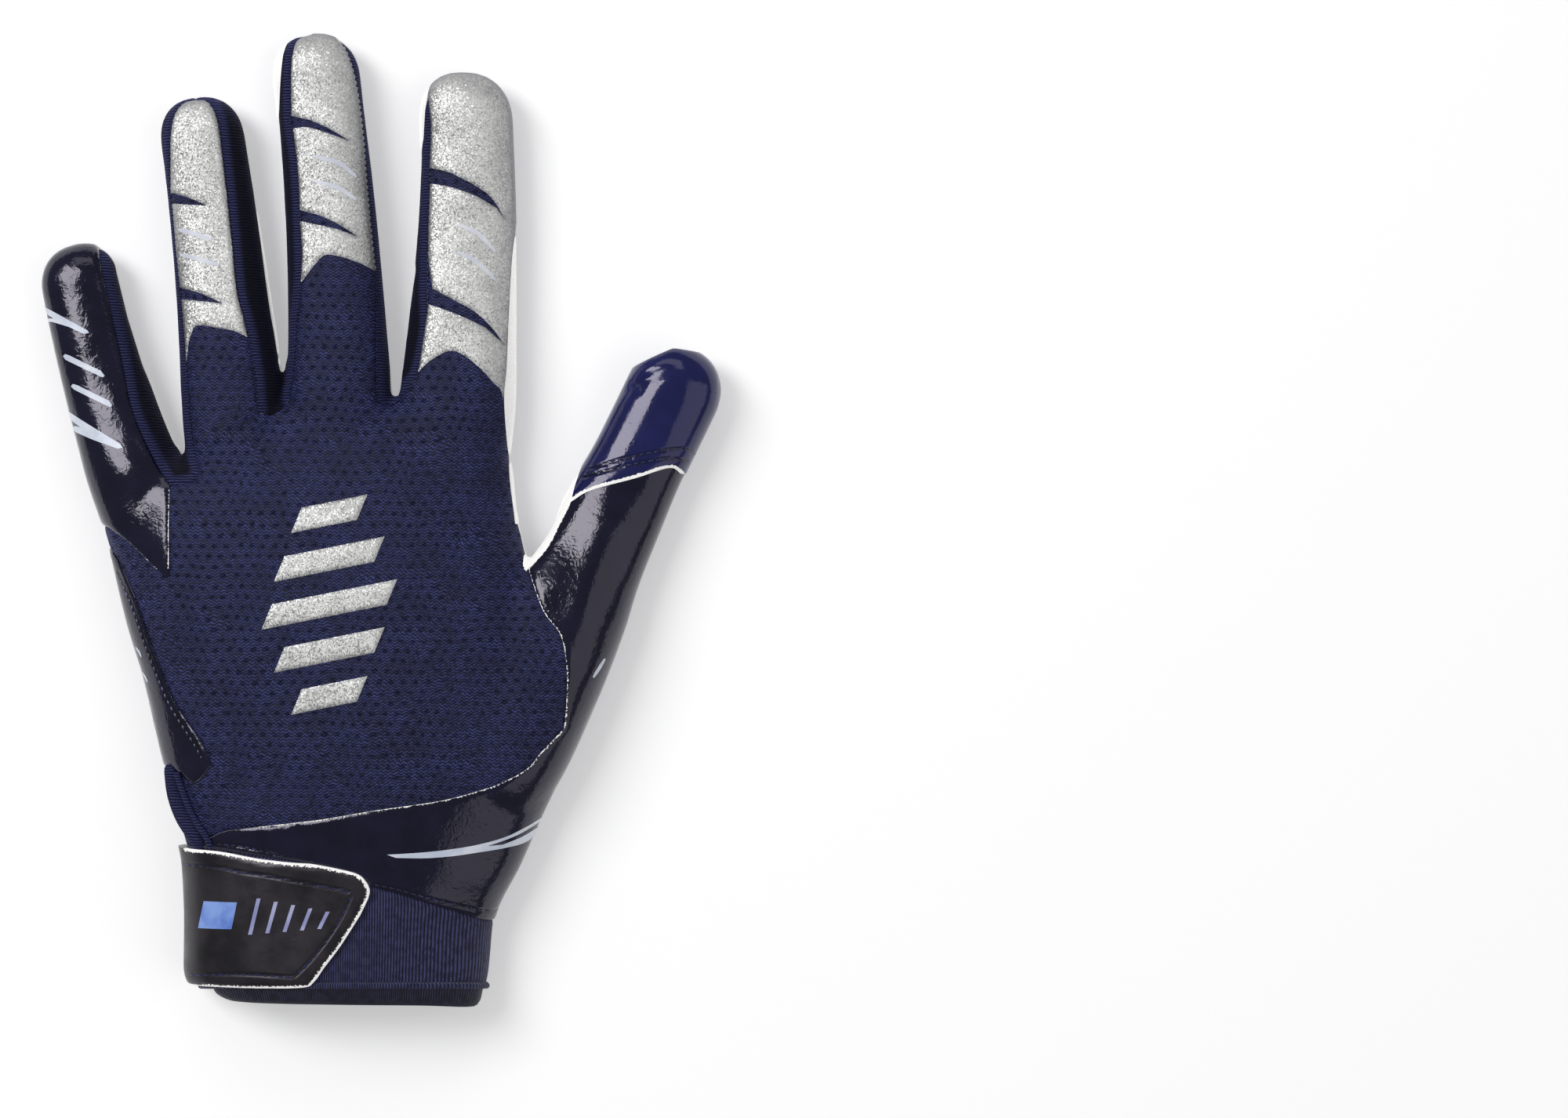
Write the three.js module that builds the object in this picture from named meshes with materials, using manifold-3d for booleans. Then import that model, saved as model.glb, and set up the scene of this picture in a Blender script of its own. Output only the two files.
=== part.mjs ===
// A football receiver glove for the left hand, lying palm down and filled out as if worn.
// Millimetres. +X is the thumb side, +Y the fingertips, +Z the back of the hand, and the
// palm rests on z = 0.
import * as THREE from 'three';
import { mergeVertices } from 'three/addons/utils/BufferGeometryUtils.js';
import Module from 'manifold-3d';

// Palm, from the hem of the cuff to the web between the middle and ring fingers
const PALM_LENGTH = 147;
const PALM_WIDTH = 100.6;
const PALM_HEIGHT = 27;

// Height of the seam that joins the palm to the back, where the glove is widest
const SEAM_HEIGHT = 8;

// Thickness of the material, and the gap between pieces that are sewn together
const WALL = 1.6;
const GAP = 0.3;

// Fingers, from the web to the tip
const INDEX_LENGTH = 81.1;
const MIDDLE_LENGTH = 89.2;
const RING_LENGTH = 74.3;
const LITTLE_LENGTH = 57.6;
const THUMB_LENGTH = 107.6;

// Widths at the tip and at the root
const INDEX_TIP = 21.7;
const INDEX_ROOT = 29.2;
const MIDDLE_TIP = 20.6;
const MIDDLE_ROOT = 25.4;
const RING_TIP = 20.1;
const RING_ROOT = 25.2;
const LITTLE_TIP = 18.3;
const LITTLE_ROOT = 22.6;
const THUMB_TIP = 21.8;
const THUMB_ROOT = 38.4;

// Heights of a finger and of the thumb, at the tip and at the root
const FINGER_TIP_HEIGHT = 15.5;
const FINGER_ROOT_HEIGHT = 19.5;
const THUMB_TIP_HEIGHT = 17;
const THUMB_ROOT_HEIGHT = 24;

// Angles from straight ahead, positive towards the thumb side
const INDEX_LEAN_DEGREES = 1.9;
const MIDDLE_LEAN_DEGREES = -4.3;
const RING_LEAN_DEGREES = -6.9;
const LITTLE_LEAN_DEGREES = -15.4;
const THUMB_LEAN_DEGREES = 27.5;

// Strap, hem and vent binding
const STRAP_THICKNESS = 1.8;
const STRAP_LOW_EDGE = 4.5;
const HEM_WIDTH = 6.2;
const HEM_THICKNESS = 0.7;
const BINDING_RADIUS = 2.1;
const BINDING_HEIGHT = 12.5;

// Section shape: 1 is an ellipse and less is fuller. The lower half sinks past the floor
// by this share of the seam height before the floor cuts it flat. The top of the cuff's mouth
// lies back by this share of its height over the seam.
const FULLNESS = 0.8;
const SINK = 1.25;
const MOUTH_SLOPE = 0.11;

// Facets
const PALM_SIDES = 32;
const FINGER_SIDES = 20;
const BINDING_SIDES = 10;
const BINDING_STEPS = 10;

// A cutting block reaches this far past the glove
const REACH = 400;

const wasm = await Module();
wasm.setup();

// A closed geometry as a solid that can be joined and cut.
function solid(geometry) {
  geometry.deleteAttribute('normal');
  geometry.deleteAttribute('uv');
  const merged = mergeVertices(geometry, 1e-4);
  return new wasm.Manifold(new wasm.Mesh({
    numProp: 3,
    vertProperties: new Float32Array(merged.attributes.position.array),
    triVerts: new Uint32Array(merged.index.array),
  }));
}

function joined(solids) {
  return solids.reduce((sum, one) => sum.add(one));
}

// An upright block over an outline, from one height to another.
function column(outline, low, high) {
  const block = new THREE.ExtrudeGeometry(new THREE.Shape(outline), {
    depth: high - low,
    bevelEnabled: false,
  });
  block.translate(0, 0, low);
  return solid(block);
}

// The same outline with every edge moved outwards.
function grown(outline, by) {
  const way = THREE.ShapeUtils.isClockWise(outline) ? -1 : 1;
  return outline.map((point, i) => {
    const arrive = point.clone().sub(outline.at(i - 1)).normalize();
    const leave = outline[(i + 1) % outline.length].clone().sub(point).normalize();
    const along = arrive.clone().add(leave).normalize();
    const outward = new THREE.Vector2(along.y, -along.x).multiplyScalar(way);
    return point.clone().addScaledVector(outward, by / arrive.dot(along));
  });
}

// A closed skin through cross sections. Each row has its centre (x, y), the way its width
// points, its half width, how far it rises above the seam and dips below, and its slope: 0
// stands upright.
function loft(rows, sides) {
  const skin = new THREE.CylinderGeometry(1, 1, 1, sides, rows.length - 1);
  const spots = skin.attributes.position;
  const bulged = (value) => Math.sign(value) * Math.abs(value) ** FULLNESS;
  for (let i = 0; i < spots.count; i += 1) {
    const row = rows[Math.round((spots.getY(i) + 0.5) * (rows.length - 1))];
    const aside = bulged(spots.getX(i)) * row.half;
    const up = spots.getZ(i);
    const height = bulged(up) * (up > 0 ? row.rise : row.dip);
    spots.setXYZ(
      i,
      row.x + aside * Math.cos(row.turn),
      row.y + aside * Math.sin(row.turn) + row.slope * Math.max(height, 0),
      SEAM_HEIGHT + height,
    );
  }
  return solid(skin);
}

// Palm and cuff: where each section lies along the palm, how far it reaches to the little
// finger's side and to the thumb's side, as shares of half the palm's width, and its height.
const palmSections = [
  { along: 0, little: 0.64, thumb: 0.64, high: 0.86 },
  { along: 0.033, little: 0.69, thumb: 0.66, high: 0.88 },
  { along: 0.055, little: 0.75, thumb: 0.675, high: 0.89 },
  { along: 0.143, little: 0.748, thumb: 0.7, high: 0.9 },
  { along: 0.238, little: 0.76, thumb: 0.83, high: 0.92 },
  { along: 0.309, little: 0.81, thumb: 0.92, high: 0.95 },
  { along: 0.38, little: 0.865, thumb: 1.01, high: 0.98 },
  { along: 0.458, little: 0.92, thumb: 1.05, high: 1 },
  { along: 0.548, little: 0.982, thumb: 1.04, high: 1 },
  { along: 0.626, little: 1.053, thumb: 0.985, high: 0.99 },
  { along: 0.729, little: 1.125, thumb: 0.875, high: 0.95 },
  { along: 0.83, little: 1.19, thumb: 0.8, high: 0.87 },
  { along: 0.876, little: 1.04, thumb: 0.79, high: 0.81 },
  { along: 0.91, little: 0.84, thumb: 0.77, high: 0.76 },
  { along: 0.95, little: 0.72, thumb: 0.75, high: 0.7 },
  { along: 0.985, little: 0.66, thumb: 0.7, high: 0.6 },
];

// The palm with its surface moved inwards, or outwards where the inset is negative.
function palmBody(inset) {
  const rows = palmSections.map(({ along, little, thumb, high }) => ({
    x: (thumb - little) * PALM_WIDTH / 4,
    y: along * PALM_LENGTH,
    turn: 0,
    slope: along > 0 ? 0 : MOUTH_SLOPE,
    half: (thumb + little) * PALM_WIDTH / 4 - inset,
    rise: high * PALM_HEIGHT - SEAM_HEIGHT - inset,
    dip: SEAM_HEIGHT * SINK - inset,
  }));
  // The mouth is open, so the inside runs on past it.
  if (inset > 0) rows[0].y -= WALL;
  if (inset > 0) rows[rows.length - 1].y -= inset;
  return loft(rows, PALM_SIDES);
}

// How a finger widens and thickens from its tip to its root, as a share of the difference,
// and the same for the thumb. The first row lies inside the palm.
const fingerFlare = [
  { along: -0.3, flare: 1.15 },
  { along: 0, flare: 1 },
  { along: 0.2, flare: 0.66 },
  { along: 0.4, flare: 0.4 },
  { along: 0.6, flare: 0.2 },
  { along: 0.8, flare: 0.05 },
];
const thumbFlare = [
  { along: -0.08, flare: 0.95 },
  { along: 0, flare: 1 },
  { along: 0.2, flare: 0.81 },
  { along: 0.37, flare: 0.53 },
  { along: 0.48, flare: 0.27 },
  { along: 0.6, flare: 0.12 },
  { along: 0.74, flare: 0 },
];

// Where each finger's root lies, as shares of half the palm's width and of its length, its
// sideways bow as a share of its own length, and its named sizes.
const fingers = {
  index: {
    across: 0.507, up: 0.988, bow: 0.022, lean: INDEX_LEAN_DEGREES,
    length: INDEX_LENGTH, tip: INDEX_TIP, root: INDEX_ROOT,
    tipHeight: FINGER_TIP_HEIGHT, rootHeight: FINGER_ROOT_HEIGHT, flare: fingerFlare,
  },
  middle: {
    across: -0.042, up: 0.998, bow: 0.014, lean: MIDDLE_LEAN_DEGREES,
    length: MIDDLE_LENGTH, tip: MIDDLE_TIP, root: MIDDLE_ROOT,
    tipHeight: FINGER_TIP_HEIGHT, rootHeight: FINGER_ROOT_HEIGHT, flare: fingerFlare,
  },
  ring: {
    across: -0.555, up: 0.998, bow: 0.009, lean: RING_LEAN_DEGREES,
    length: RING_LENGTH, tip: RING_TIP, root: RING_ROOT,
    tipHeight: FINGER_TIP_HEIGHT, rootHeight: FINGER_ROOT_HEIGHT, flare: fingerFlare,
  },
  little: {
    across: -1.02, up: 0.876, bow: -0.02, lean: LITTLE_LEAN_DEGREES,
    length: LITTLE_LENGTH, tip: LITTLE_TIP, root: LITTLE_ROOT,
    tipHeight: FINGER_TIP_HEIGHT, rootHeight: FINGER_ROOT_HEIGHT, flare: fingerFlare,
  },
  thumb: {
    across: 0.672, up: 0.432, bow: 0.01, lean: THUMB_LEAN_DEGREES,
    length: THUMB_LENGTH, tip: THUMB_TIP, root: THUMB_ROOT,
    tipHeight: THUMB_TIP_HEIGHT, rootHeight: THUMB_ROOT_HEIGHT, flare: thumbFlare,
  },
};

// A fingertip is rounded off through sections at these angles, in degrees, and its width
// and height shrink by the cosine to this power: under 1 is blunter than a ball.
const tipAngles = [0, 28, 50, 68, 82];
const TIP_BLUNTNESS = 0.8;

// A finger's flare at any place along it.
function flareAt(finger, along) {
  const rows = finger.flare;
  const next = rows.findIndex((row) => row.along > along);
  if (next === 0) return rows[0].flare;
  if (next < 0) return rows.at(-1).flare;
  const [low, high] = [rows[next - 1], rows[next]];
  const share = (along - low.along) / (high.along - low.along);
  return THREE.MathUtils.lerp(low.flare, high.flare, share);
}

// A point of a finger, seen from above: along it from root to tip, and across it as a share
// of its half width there.
function fingerPoint(name, along, across) {
  const finger = fingers[name];
  const lean = THREE.MathUtils.degToRad(finger.lean);
  const width = THREE.MathUtils.lerp(finger.tip, finger.root, flareAt(finger, along));
  const forward = along * finger.length;
  const aside = finger.bow * finger.length * 4 * along * (1 - along) + across * width / 2;
  return new THREE.Vector2(
    finger.across * PALM_WIDTH / 2 + forward * Math.sin(lean) + aside * Math.cos(lean),
    finger.up * PALM_LENGTH + forward * Math.cos(lean) - aside * Math.sin(lean),
  );
}

// A point halfway between two fingers' middle lines, each followed as far along.
function webPoint(one, other, along) {
  return fingerPoint(one, along, 0).lerp(fingerPoint(other, along, 0), 0.5);
}

// A point of the palm, seen from above, as shares of its length and half its width.
function palmPoint(along, across) {
  return new THREE.Vector2(across * PALM_WIDTH / 2, along * PALM_LENGTH);
}

// A finger or the thumb, with its surface moved inwards by the inset.
function fingerBody(name, inset) {
  const finger = fingers[name];
  const section = (along, round) => {
    const flare = flareAt(finger, along);
    const centre = fingerPoint(name, along, 0);
    const width = THREE.MathUtils.lerp(finger.tip, finger.root, flare);
    const height = THREE.MathUtils.lerp(finger.tipHeight, finger.rootHeight, flare);
    return {
      x: centre.x,
      y: centre.y,
      turn: -THREE.MathUtils.degToRad(finger.lean),
      slope: 0,
      half: (width / 2 - inset) * round,
      rise: (height - SEAM_HEIGHT - inset) * round,
      dip: (SEAM_HEIGHT * SINK - inset) * round,
    };
  };
  const radius = finger.tip / 2 - inset;
  const rounded = tipAngles.map((angle) => {
    const turn = THREE.MathUtils.degToRad(angle);
    const back = inset + radius * (1 - Math.sin(turn));
    return section(1 - back / finger.length, Math.cos(turn) ** TIP_BLUNTNESS);
  });
  const straight = finger.flare
    .filter(({ along }) => along < 1 - (finger.tip / 2) * 1.2 / finger.length)
    .map(({ along }) => section(along, 1));
  return loft([...straight, ...rounded], FINGER_SIDES);
}

const everywhere = [[-1, -1], [1, -1], [1, 1], [-1, 1]]
  .map(([x, y]) => new THREE.Vector2(x * REACH, y * REACH));
const names = Object.keys(fingers);
const above = (height) => column(everywhere, height, REACH);
const outside = joined([palmBody(0), ...names.map((name) => fingerBody(name, 0))])
  .intersect(above(0));
const inside = joined([palmBody(WALL), ...names.map((name) => fingerBody(name, WALL))])
  .intersect(above(WALL));
const shell = outside.subtract(inside);

// Outlines of the pieces, seen from above. Each reaches past the glove where it covers an edge.
const cuffOutline = [
  palmPoint(0.262, -1.6),
  palmPoint(0.262, -0.77),
  palmPoint(0.235, -0.189),
  palmPoint(0.199, 0.11),
  palmPoint(0.158, 0.517),
  palmPoint(0.1435, 0.714),
  palmPoint(0.125, 1.6),
  palmPoint(-0.2, 1.6),
  palmPoint(-0.2, -1.6),
];
const hemOutline = [
  new THREE.Vector2(-REACH, -REACH),
  new THREE.Vector2(REACH, -REACH),
  new THREE.Vector2(REACH, HEM_WIDTH),
  new THREE.Vector2(-REACH, HEM_WIDTH),
];
const thumbCapOutline = [
  fingerPoint('thumb', 0.56, -2),
  fingerPoint('thumb', 0.572, -1),
  fingerPoint('thumb', 0.617, -0.6),
  fingerPoint('thumb', 0.686, 0.14),
  fingerPoint('thumb', 0.743, 0.73),
  fingerPoint('thumb', 0.75, 2),
  fingerPoint('thumb', 1.3, 2),
  fingerPoint('thumb', 1.3, -2),
];
const thumbWrapOutline = [
  palmPoint(0.85, 0.93),
  palmPoint(0.801, 0.79),
  palmPoint(0.721, 0.865),
  palmPoint(0.653, 0.94),
  palmPoint(0.61, 1.02),
  palmPoint(0.544, 1.058),
  palmPoint(0.4575, 1.046),
  palmPoint(0.419, 0.933),
  palmPoint(0.392, 0.865),
  palmPoint(0.357, 0.646),
  palmPoint(0.323, 0.136),
  palmPoint(0.308, -0.136),
  palmPoint(0.288, -0.593),
  palmPoint(0.275, -0.665),
  palmPoint(0.2, -0.665),
  palmPoint(0.06, 1.6),
  fingerPoint('thumb', 0.2, 3),
  fingerPoint('thumb', 0.9, 3),
  fingerPoint('thumb', 0.9, -2),
];
const heelWrapOutline = [
  palmPoint(0.765, -1.5),
  palmPoint(0.757, -1.148),
  palmPoint(0.7, -1.065),
  palmPoint(0.657, -1.012),
  palmPoint(0.591, -0.948),
  palmPoint(0.526, -0.8725),
  palmPoint(0.442, -0.725),
  palmPoint(0.41, -0.672),
  palmPoint(0.385, -0.69),
  palmPoint(0.37, -0.75),
  palmPoint(0.36, -1.5),
];
const littleWrapOutline = [
  fingerPoint('little', 1.3, 0.9),
  fingerPoint('little', 1, 0.62),
  fingerPoint('little', 0.84, 0.54),
  fingerPoint('little', 0.5, 0.42),
  fingerPoint('little', 0.26, 0.38),
  fingerPoint('little', 0.03, 0.55),
  palmPoint(0.862, -0.861),
  palmPoint(0.715, -0.861),
  palmPoint(0.79, -1.156),
  palmPoint(0.835, -1.45),
  fingerPoint('little', 0.3, -3),
  fingerPoint('little', 1.3, -3),
];
const indexFilmOutline = [
  fingerPoint('index', 0.1, -0.62),
  fingerPoint('index', 0.14, -0.45),
  fingerPoint('index', 0.168, -0.14),
  fingerPoint('index', 0.162, 0.1),
  fingerPoint('index', 0.124, 0.43),
  fingerPoint('index', 0.06, 0.72),
  fingerPoint('index', 0, 0.88),
  fingerPoint('index', 0, 1.4),
  fingerPoint('index', 1.2, 1.4),
  fingerPoint('index', 1.2, -1.4),
  fingerPoint('index', 0.93, -1.3),
  fingerPoint('index', 0.91, -0.7),
];
const middleFilmOutline = [
  fingerPoint('middle', 0.328, -0.66),
  fingerPoint('middle', 0.373, -0.35),
  fingerPoint('middle', 0.398, -0.1),
  fingerPoint('middle', 0.396, 0.15),
  fingerPoint('middle', 0.372, 0.6),
  fingerPoint('middle', 0.345, 0.82),
  fingerPoint('middle', 0.93, 0.82),
  fingerPoint('middle', 0.945, 1.3),
  fingerPoint('middle', 1.2, 1.3),
  fingerPoint('middle', 1.2, -1.3),
  fingerPoint('middle', 0.945, -1.3),
  fingerPoint('middle', 0.93, -0.64),
];
const ringFilmOutline = [
  fingerPoint('ring', 0.16, -0.82),
  fingerPoint('ring', 0.25, -0.68),
  fingerPoint('ring', 0.259, -0.5),
  fingerPoint('ring', 0.228, 0.2),
  fingerPoint('ring', 0.2, 0.44),
  fingerPoint('ring', 0.36, 0.38),
  fingerPoint('ring', 0.93, 0.42),
  fingerPoint('ring', 0.945, 1.3),
  fingerPoint('ring', 1.2, 1.3),
  fingerPoint('ring', 1.2, -1.3),
  fingerPoint('ring', 0.945, -1.3),
  fingerPoint('ring', 0.93, -0.8),
];

// A strip between two fingers: up the side of one, across the open gap, down the other.
const fourchetteIndexMiddleOutline = [
  fingerPoint('middle', 0.97, 0.7),
  fingerPoint('middle', 0.34, 0.78),
  fingerPoint('middle', 0.1, 0.86),
  webPoint('middle', 'index', -0.1),
  fingerPoint('index', 0.1, -0.76),
  fingerPoint('index', 0.5, -0.72),
  fingerPoint('index', 0.96, -0.6),
];
const fourchetteMiddleRingOutline = [
  fingerPoint('ring', 0.97, 0.3),
  fingerPoint('ring', 0.36, 0.3),
  fingerPoint('ring', 0.16, 0.5),
  webPoint('ring', 'middle', -0.1),
  fingerPoint('middle', 0.14, -0.72),
  fingerPoint('middle', 0.5, -0.6),
  fingerPoint('middle', 0.97, -0.55),
];
const fourchetteRingLittleOutline = [
  fingerPoint('little', 0.94, 0.4),
  fingerPoint('little', 0.26, 0.3),
  fingerPoint('little', 0.03, 0.45),
  palmPoint(0.862, -0.875),
  palmPoint(0.84, -0.83),
  fingerPoint('ring', -0.33, -0.83),
  fingerPoint('ring', 0, -0.86),
  fingerPoint('ring', 0.2, -0.78),
  fingerPoint('ring', 0.97, -0.7),
];
const strapOutline = [
  palmPoint(0.265, -1.6),
  palmPoint(0.265, -0.77),
  palmPoint(0.257, -0.593),
  palmPoint(0.235, -0.189),
  palmPoint(0.226, 0.004),
  palmPoint(0.212, 0.076),
  palmPoint(0.191, 0.106),
  palmPoint(0.171, 0.094),
  palmPoint(0.057, -0.14),
  palmPoint(0.045, -0.2),
  palmPoint(0.045, -1.6),
];

// The back's pieces in the order in which they are laid: each leaves room for those before it.
const seamTop = SEAM_HEIGHT + GAP / 2;
const seamBottom = SEAM_HEIGHT - GAP / 2;
const laid = [];

// A piece of the back, cut from the shell by its outline and clear of the pieces laid so far.
function backPiece(outline) {
  let piece = shell.intersect(column(outline, seamTop, REACH));
  laid.forEach((other) => {
    piece = piece.subtract(column(grown(other, GAP), 0, REACH));
  });
  laid.push(outline);
  return piece;
}

// Vent binding: a rolled edge along the little finger's side of the wrist
const bindingPath = new THREE.CatmullRomCurve3(
  [[0.395, -0.855], [0.37, -0.845], [0.33, -0.815], [0.29, -0.78], [0.275, -0.765]]
    .map(([along, across]) => palmPoint(along, across))
    .map(({ x, y }) => new THREE.Vector3(x, y, BINDING_HEIGHT)),
);
function binding(extra) {
  const round = new THREE.Shape().absarc(0, 0, BINDING_RADIUS + extra, 0, 2 * Math.PI);
  return solid(new THREE.ExtrudeGeometry(round, {
    steps: BINDING_STEPS,
    curveSegments: BINDING_SIDES / 2,
    bevelEnabled: false,
    extrudePath: bindingPath,
  }));
}
const besideBinding = (piece) => piece.subtract(binding(GAP));

laid.push(cuffOutline);
const thumbCap = backPiece(thumbCapOutline);
const thumbWrap = backPiece(thumbWrapOutline);
const heelWrap = besideBinding(backPiece(heelWrapOutline));
const littleWrap = backPiece(littleWrapOutline);
const indexFilm = backPiece(indexFilmOutline);
const middleFilm = backPiece(middleFilmOutline);
const ringFilm = backPiece(ringFilmOutline);
const fourchetteIndexMiddle = backPiece(fourchetteIndexMiddleOutline);
const fourchetteMiddleRing = backPiece(fourchetteMiddleRingOutline);
const fourchetteRingLittle = backPiece(fourchetteRingLittleOutline);
const backPanel = besideBinding(backPiece(everywhere));

const palmPanel = besideBinding(shell
  .intersect(column(everywhere, 0, seamBottom))
  .subtract(column(grown(cuffOutline, GAP), 0, REACH)));
const cuff = besideBinding(shell
  .intersect(column(cuffOutline, 0, REACH))
  .subtract(column(grown(hemOutline, GAP), 0, REACH)));
const cuffHem = palmBody(-HEM_THICKNESS)
  .intersect(above(0))
  .subtract(palmBody(WALL).intersect(above(WALL)))
  .intersect(column(hemOutline, 0, REACH));
const strap = palmBody(-GAP - STRAP_THICKNESS)
  .subtract(palmBody(-GAP))
  .intersect(column(strapOutline, STRAP_LOW_EDGE, REACH));

// Finishes
const finishes = {
  knit: { color: 0x1e2252, roughness: 0.9, metalness: 0 },
  ribs: { color: 0x17193a, roughness: 0.95, metalness: 0 },
  silver: { color: 0xb9b9b7, roughness: 0.35, metalness: 0.8 },
  gloss: { color: 0x15152d, roughness: 0.25, metalness: 0 },
  grip: { color: 0x1f2259, roughness: 0.35, metalness: 0 },
  elastic: { color: 0x161838, roughness: 0.95, metalness: 0 },
  trim: { color: 0x12132c, roughness: 0.8, metalness: 0 },
  strap: { color: 0x1d1b20, roughness: 0.4, metalness: 0 },
};

const glove = new THREE.Group();
function place(name, piece, finish) {
  const { vertProperties, triVerts } = piece.simplify(GAP / 100).getMesh();
  const geometry = new THREE.BufferGeometry();
  geometry.setAttribute('position', new THREE.BufferAttribute(vertProperties, 3));
  geometry.setIndex(new THREE.BufferAttribute(triVerts, 1));
  geometry.computeVertexNormals();
  const mesh = new THREE.Mesh(geometry, new THREE.MeshStandardMaterial(finishes[finish]));
  mesh.name = name;
  glove.add(mesh);
}
place('palm_panel', palmPanel, 'grip');
place('back_panel', backPanel, 'knit');
place('index_film', indexFilm, 'silver');
place('middle_film', middleFilm, 'silver');
place('ring_film', ringFilm, 'silver');
place('little_finger_wrap', littleWrap, 'gloss');
place('heel_wrap', heelWrap, 'gloss');
place('thumb_wrap', thumbWrap, 'gloss');
place('thumb_cap', thumbCap, 'grip');
place('fourchette_index_middle', fourchetteIndexMiddle, 'ribs');
place('fourchette_middle_ring', fourchetteMiddleRing, 'ribs');
place('fourchette_ring_little', fourchetteRingLittle, 'ribs');
place('cuff', cuff, 'elastic');
place('cuff_hem', cuffHem, 'trim');
place('strap', strap, 'strap');
place('vent_binding', binding(0), 'trim');

// The origin is on the floor, below the middle of the glove's box.
const box = new THREE.Box3().setFromObject(glove);
const middle = box.getCenter(new THREE.Vector3());
glove.position.set(-middle.x, -middle.y, 0);

export default glove;
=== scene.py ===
import math
from functools import partial

import bpy
import numpy as np
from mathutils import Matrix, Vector
from mathutils.bvhtree import BVHTree


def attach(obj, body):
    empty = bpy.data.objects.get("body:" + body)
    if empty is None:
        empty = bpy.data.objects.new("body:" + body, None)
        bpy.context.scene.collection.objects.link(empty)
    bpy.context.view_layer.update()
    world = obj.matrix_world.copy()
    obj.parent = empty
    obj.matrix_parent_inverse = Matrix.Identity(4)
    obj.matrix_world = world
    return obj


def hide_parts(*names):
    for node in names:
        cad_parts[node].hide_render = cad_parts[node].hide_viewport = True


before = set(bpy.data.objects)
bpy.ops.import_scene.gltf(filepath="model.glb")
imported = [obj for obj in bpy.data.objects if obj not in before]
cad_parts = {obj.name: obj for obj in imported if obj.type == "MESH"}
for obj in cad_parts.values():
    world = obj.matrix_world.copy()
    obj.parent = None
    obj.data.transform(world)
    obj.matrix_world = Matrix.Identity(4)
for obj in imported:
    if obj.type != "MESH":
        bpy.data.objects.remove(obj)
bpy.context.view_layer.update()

# The hand form: the filled-out shape over which all the panels are sewn, taken from sections
# of the palm, the fingers and the thumb. It isn't a piece itself. Each panel is a sheet cut
# from the layers over it, and the floor flattens it underneath.
MM = 0.001
PALM_LENGTH = 147 * MM
PALM_WIDTH = 100.6 * MM
PALM_HEIGHT = 27 * MM
SEAM_HEIGHT = 8 * MM
WALL = 1.6 * MM
FULLNESS = 0.8
SINK = 1.25
TIP_BLUNTNESS = 0.8
MOUTH = np.array([-8.013, -117.858]) * MM
MOUTH_SLOPE = 0.11
TALL = 60 * MM
GRAIN = 0.8 * MM

PALM_SECTIONS = [
    # along, little, thumb, high
    (-0.05, 0.64, 0.64, 0.86),
    (0, 0.64, 0.64, 0.86),
    (0.033, 0.69, 0.66, 0.88),
    (0.055, 0.75, 0.675, 0.89),
    (0.143, 0.748, 0.7, 0.9),
    (0.238, 0.76, 0.83, 0.92),
    (0.309, 0.81, 0.92, 0.95),
    (0.38, 0.865, 1.01, 0.98),
    (0.458, 0.92, 1.05, 1),
    (0.548, 0.982, 1.04, 1),
    (0.626, 1.053, 0.985, 0.99),
    (0.729, 1.125, 0.875, 0.95),
    (0.83, 1.19, 0.8, 0.87),
    (0.876, 1.04, 0.79, 0.81),
    (0.91, 0.84, 0.77, 0.76),
    (0.95, 0.72, 0.75, 0.7),
    (0.985, 0.66, 0.7, 0.6),
]
FINGER_FLARE = [(-0.3, 1.15), (0, 1), (0.2, 0.66), (0.4, 0.4), (0.6, 0.2), (0.8, 0.05), (1, 0)]
THUMB_FLARE = [(-0.08, 0.95), (0, 1), (0.2, 0.81), (0.37, 0.53), (0.48, 0.27), (0.6, 0.12),
               (0.74, 0), (1, 0)]
FINGERS = {
    # across, up, bow, lean, length, tip width, root width, tip height, root height
    "index": (0.507, 0.988, 0.022, 1.9, 81.1, 21.7, 29.2, 15.5, 19.5),
    "middle": (-0.042, 0.998, 0.014, -4.3, 89.2, 20.6, 25.4, 15.5, 19.5),
    "ring": (-0.555, 0.998, 0.009, -6.9, 74.3, 20.1, 25.2, 15.5, 19.5),
    "little": (-1.02, 0.876, -0.02, -15.4, 57.6, 18.3, 22.6, 15.5, 19.5),
    "thumb": (0.672, 0.432, 0.01, 27.5, 107.6, 21.8, 38.4, 17, 24),
}


# The photograph's frame: the pixel of the middle of the mouth, the size of a pixel at the
# seam's height, and how high the camera hangs.
MOUTH_PIXEL = (444, 1284)
PIXEL = 0.19 * MM
LEVEL = 9 * MM
CAMERA_DISTANCE = 0.9
FRAME_WIDTH = 2000
FRAME_HEIGHT = 1426


def smooth(rows, column, at):
    """A column of a table between its rows, without overshoot."""
    places = np.array([row[0] for row in rows], float)
    values = np.array([row[column] for row in rows], float)
    step = np.diff(places)
    slope = np.diff(values) / step
    tangent = np.concatenate([slope[:1], np.zeros(len(slope) - 1), slope[-1:]])
    product = slope[:-1] * slope[1:]
    rising = product > 0
    total = np.where(rising, slope[:-1] + slope[1:], 1)
    tangent[1:-1] = np.where(rising, 2 * product / total, 0)
    k = np.clip(np.searchsorted(places, at) - 1, 0, len(step) - 1)
    t = np.clip((at - places[k]) / step[k], 0, 1)
    return (
        (2 * t**3 - 3 * t**2 + 1) * values[k]
        + (t**3 - 2 * t**2 + t) * step[k] * tangent[k]
        + (3 * t**2 - 2 * t**3) * values[k + 1]
        + (t**3 - t**2) * step[k] * tangent[k + 1]
    )


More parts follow.
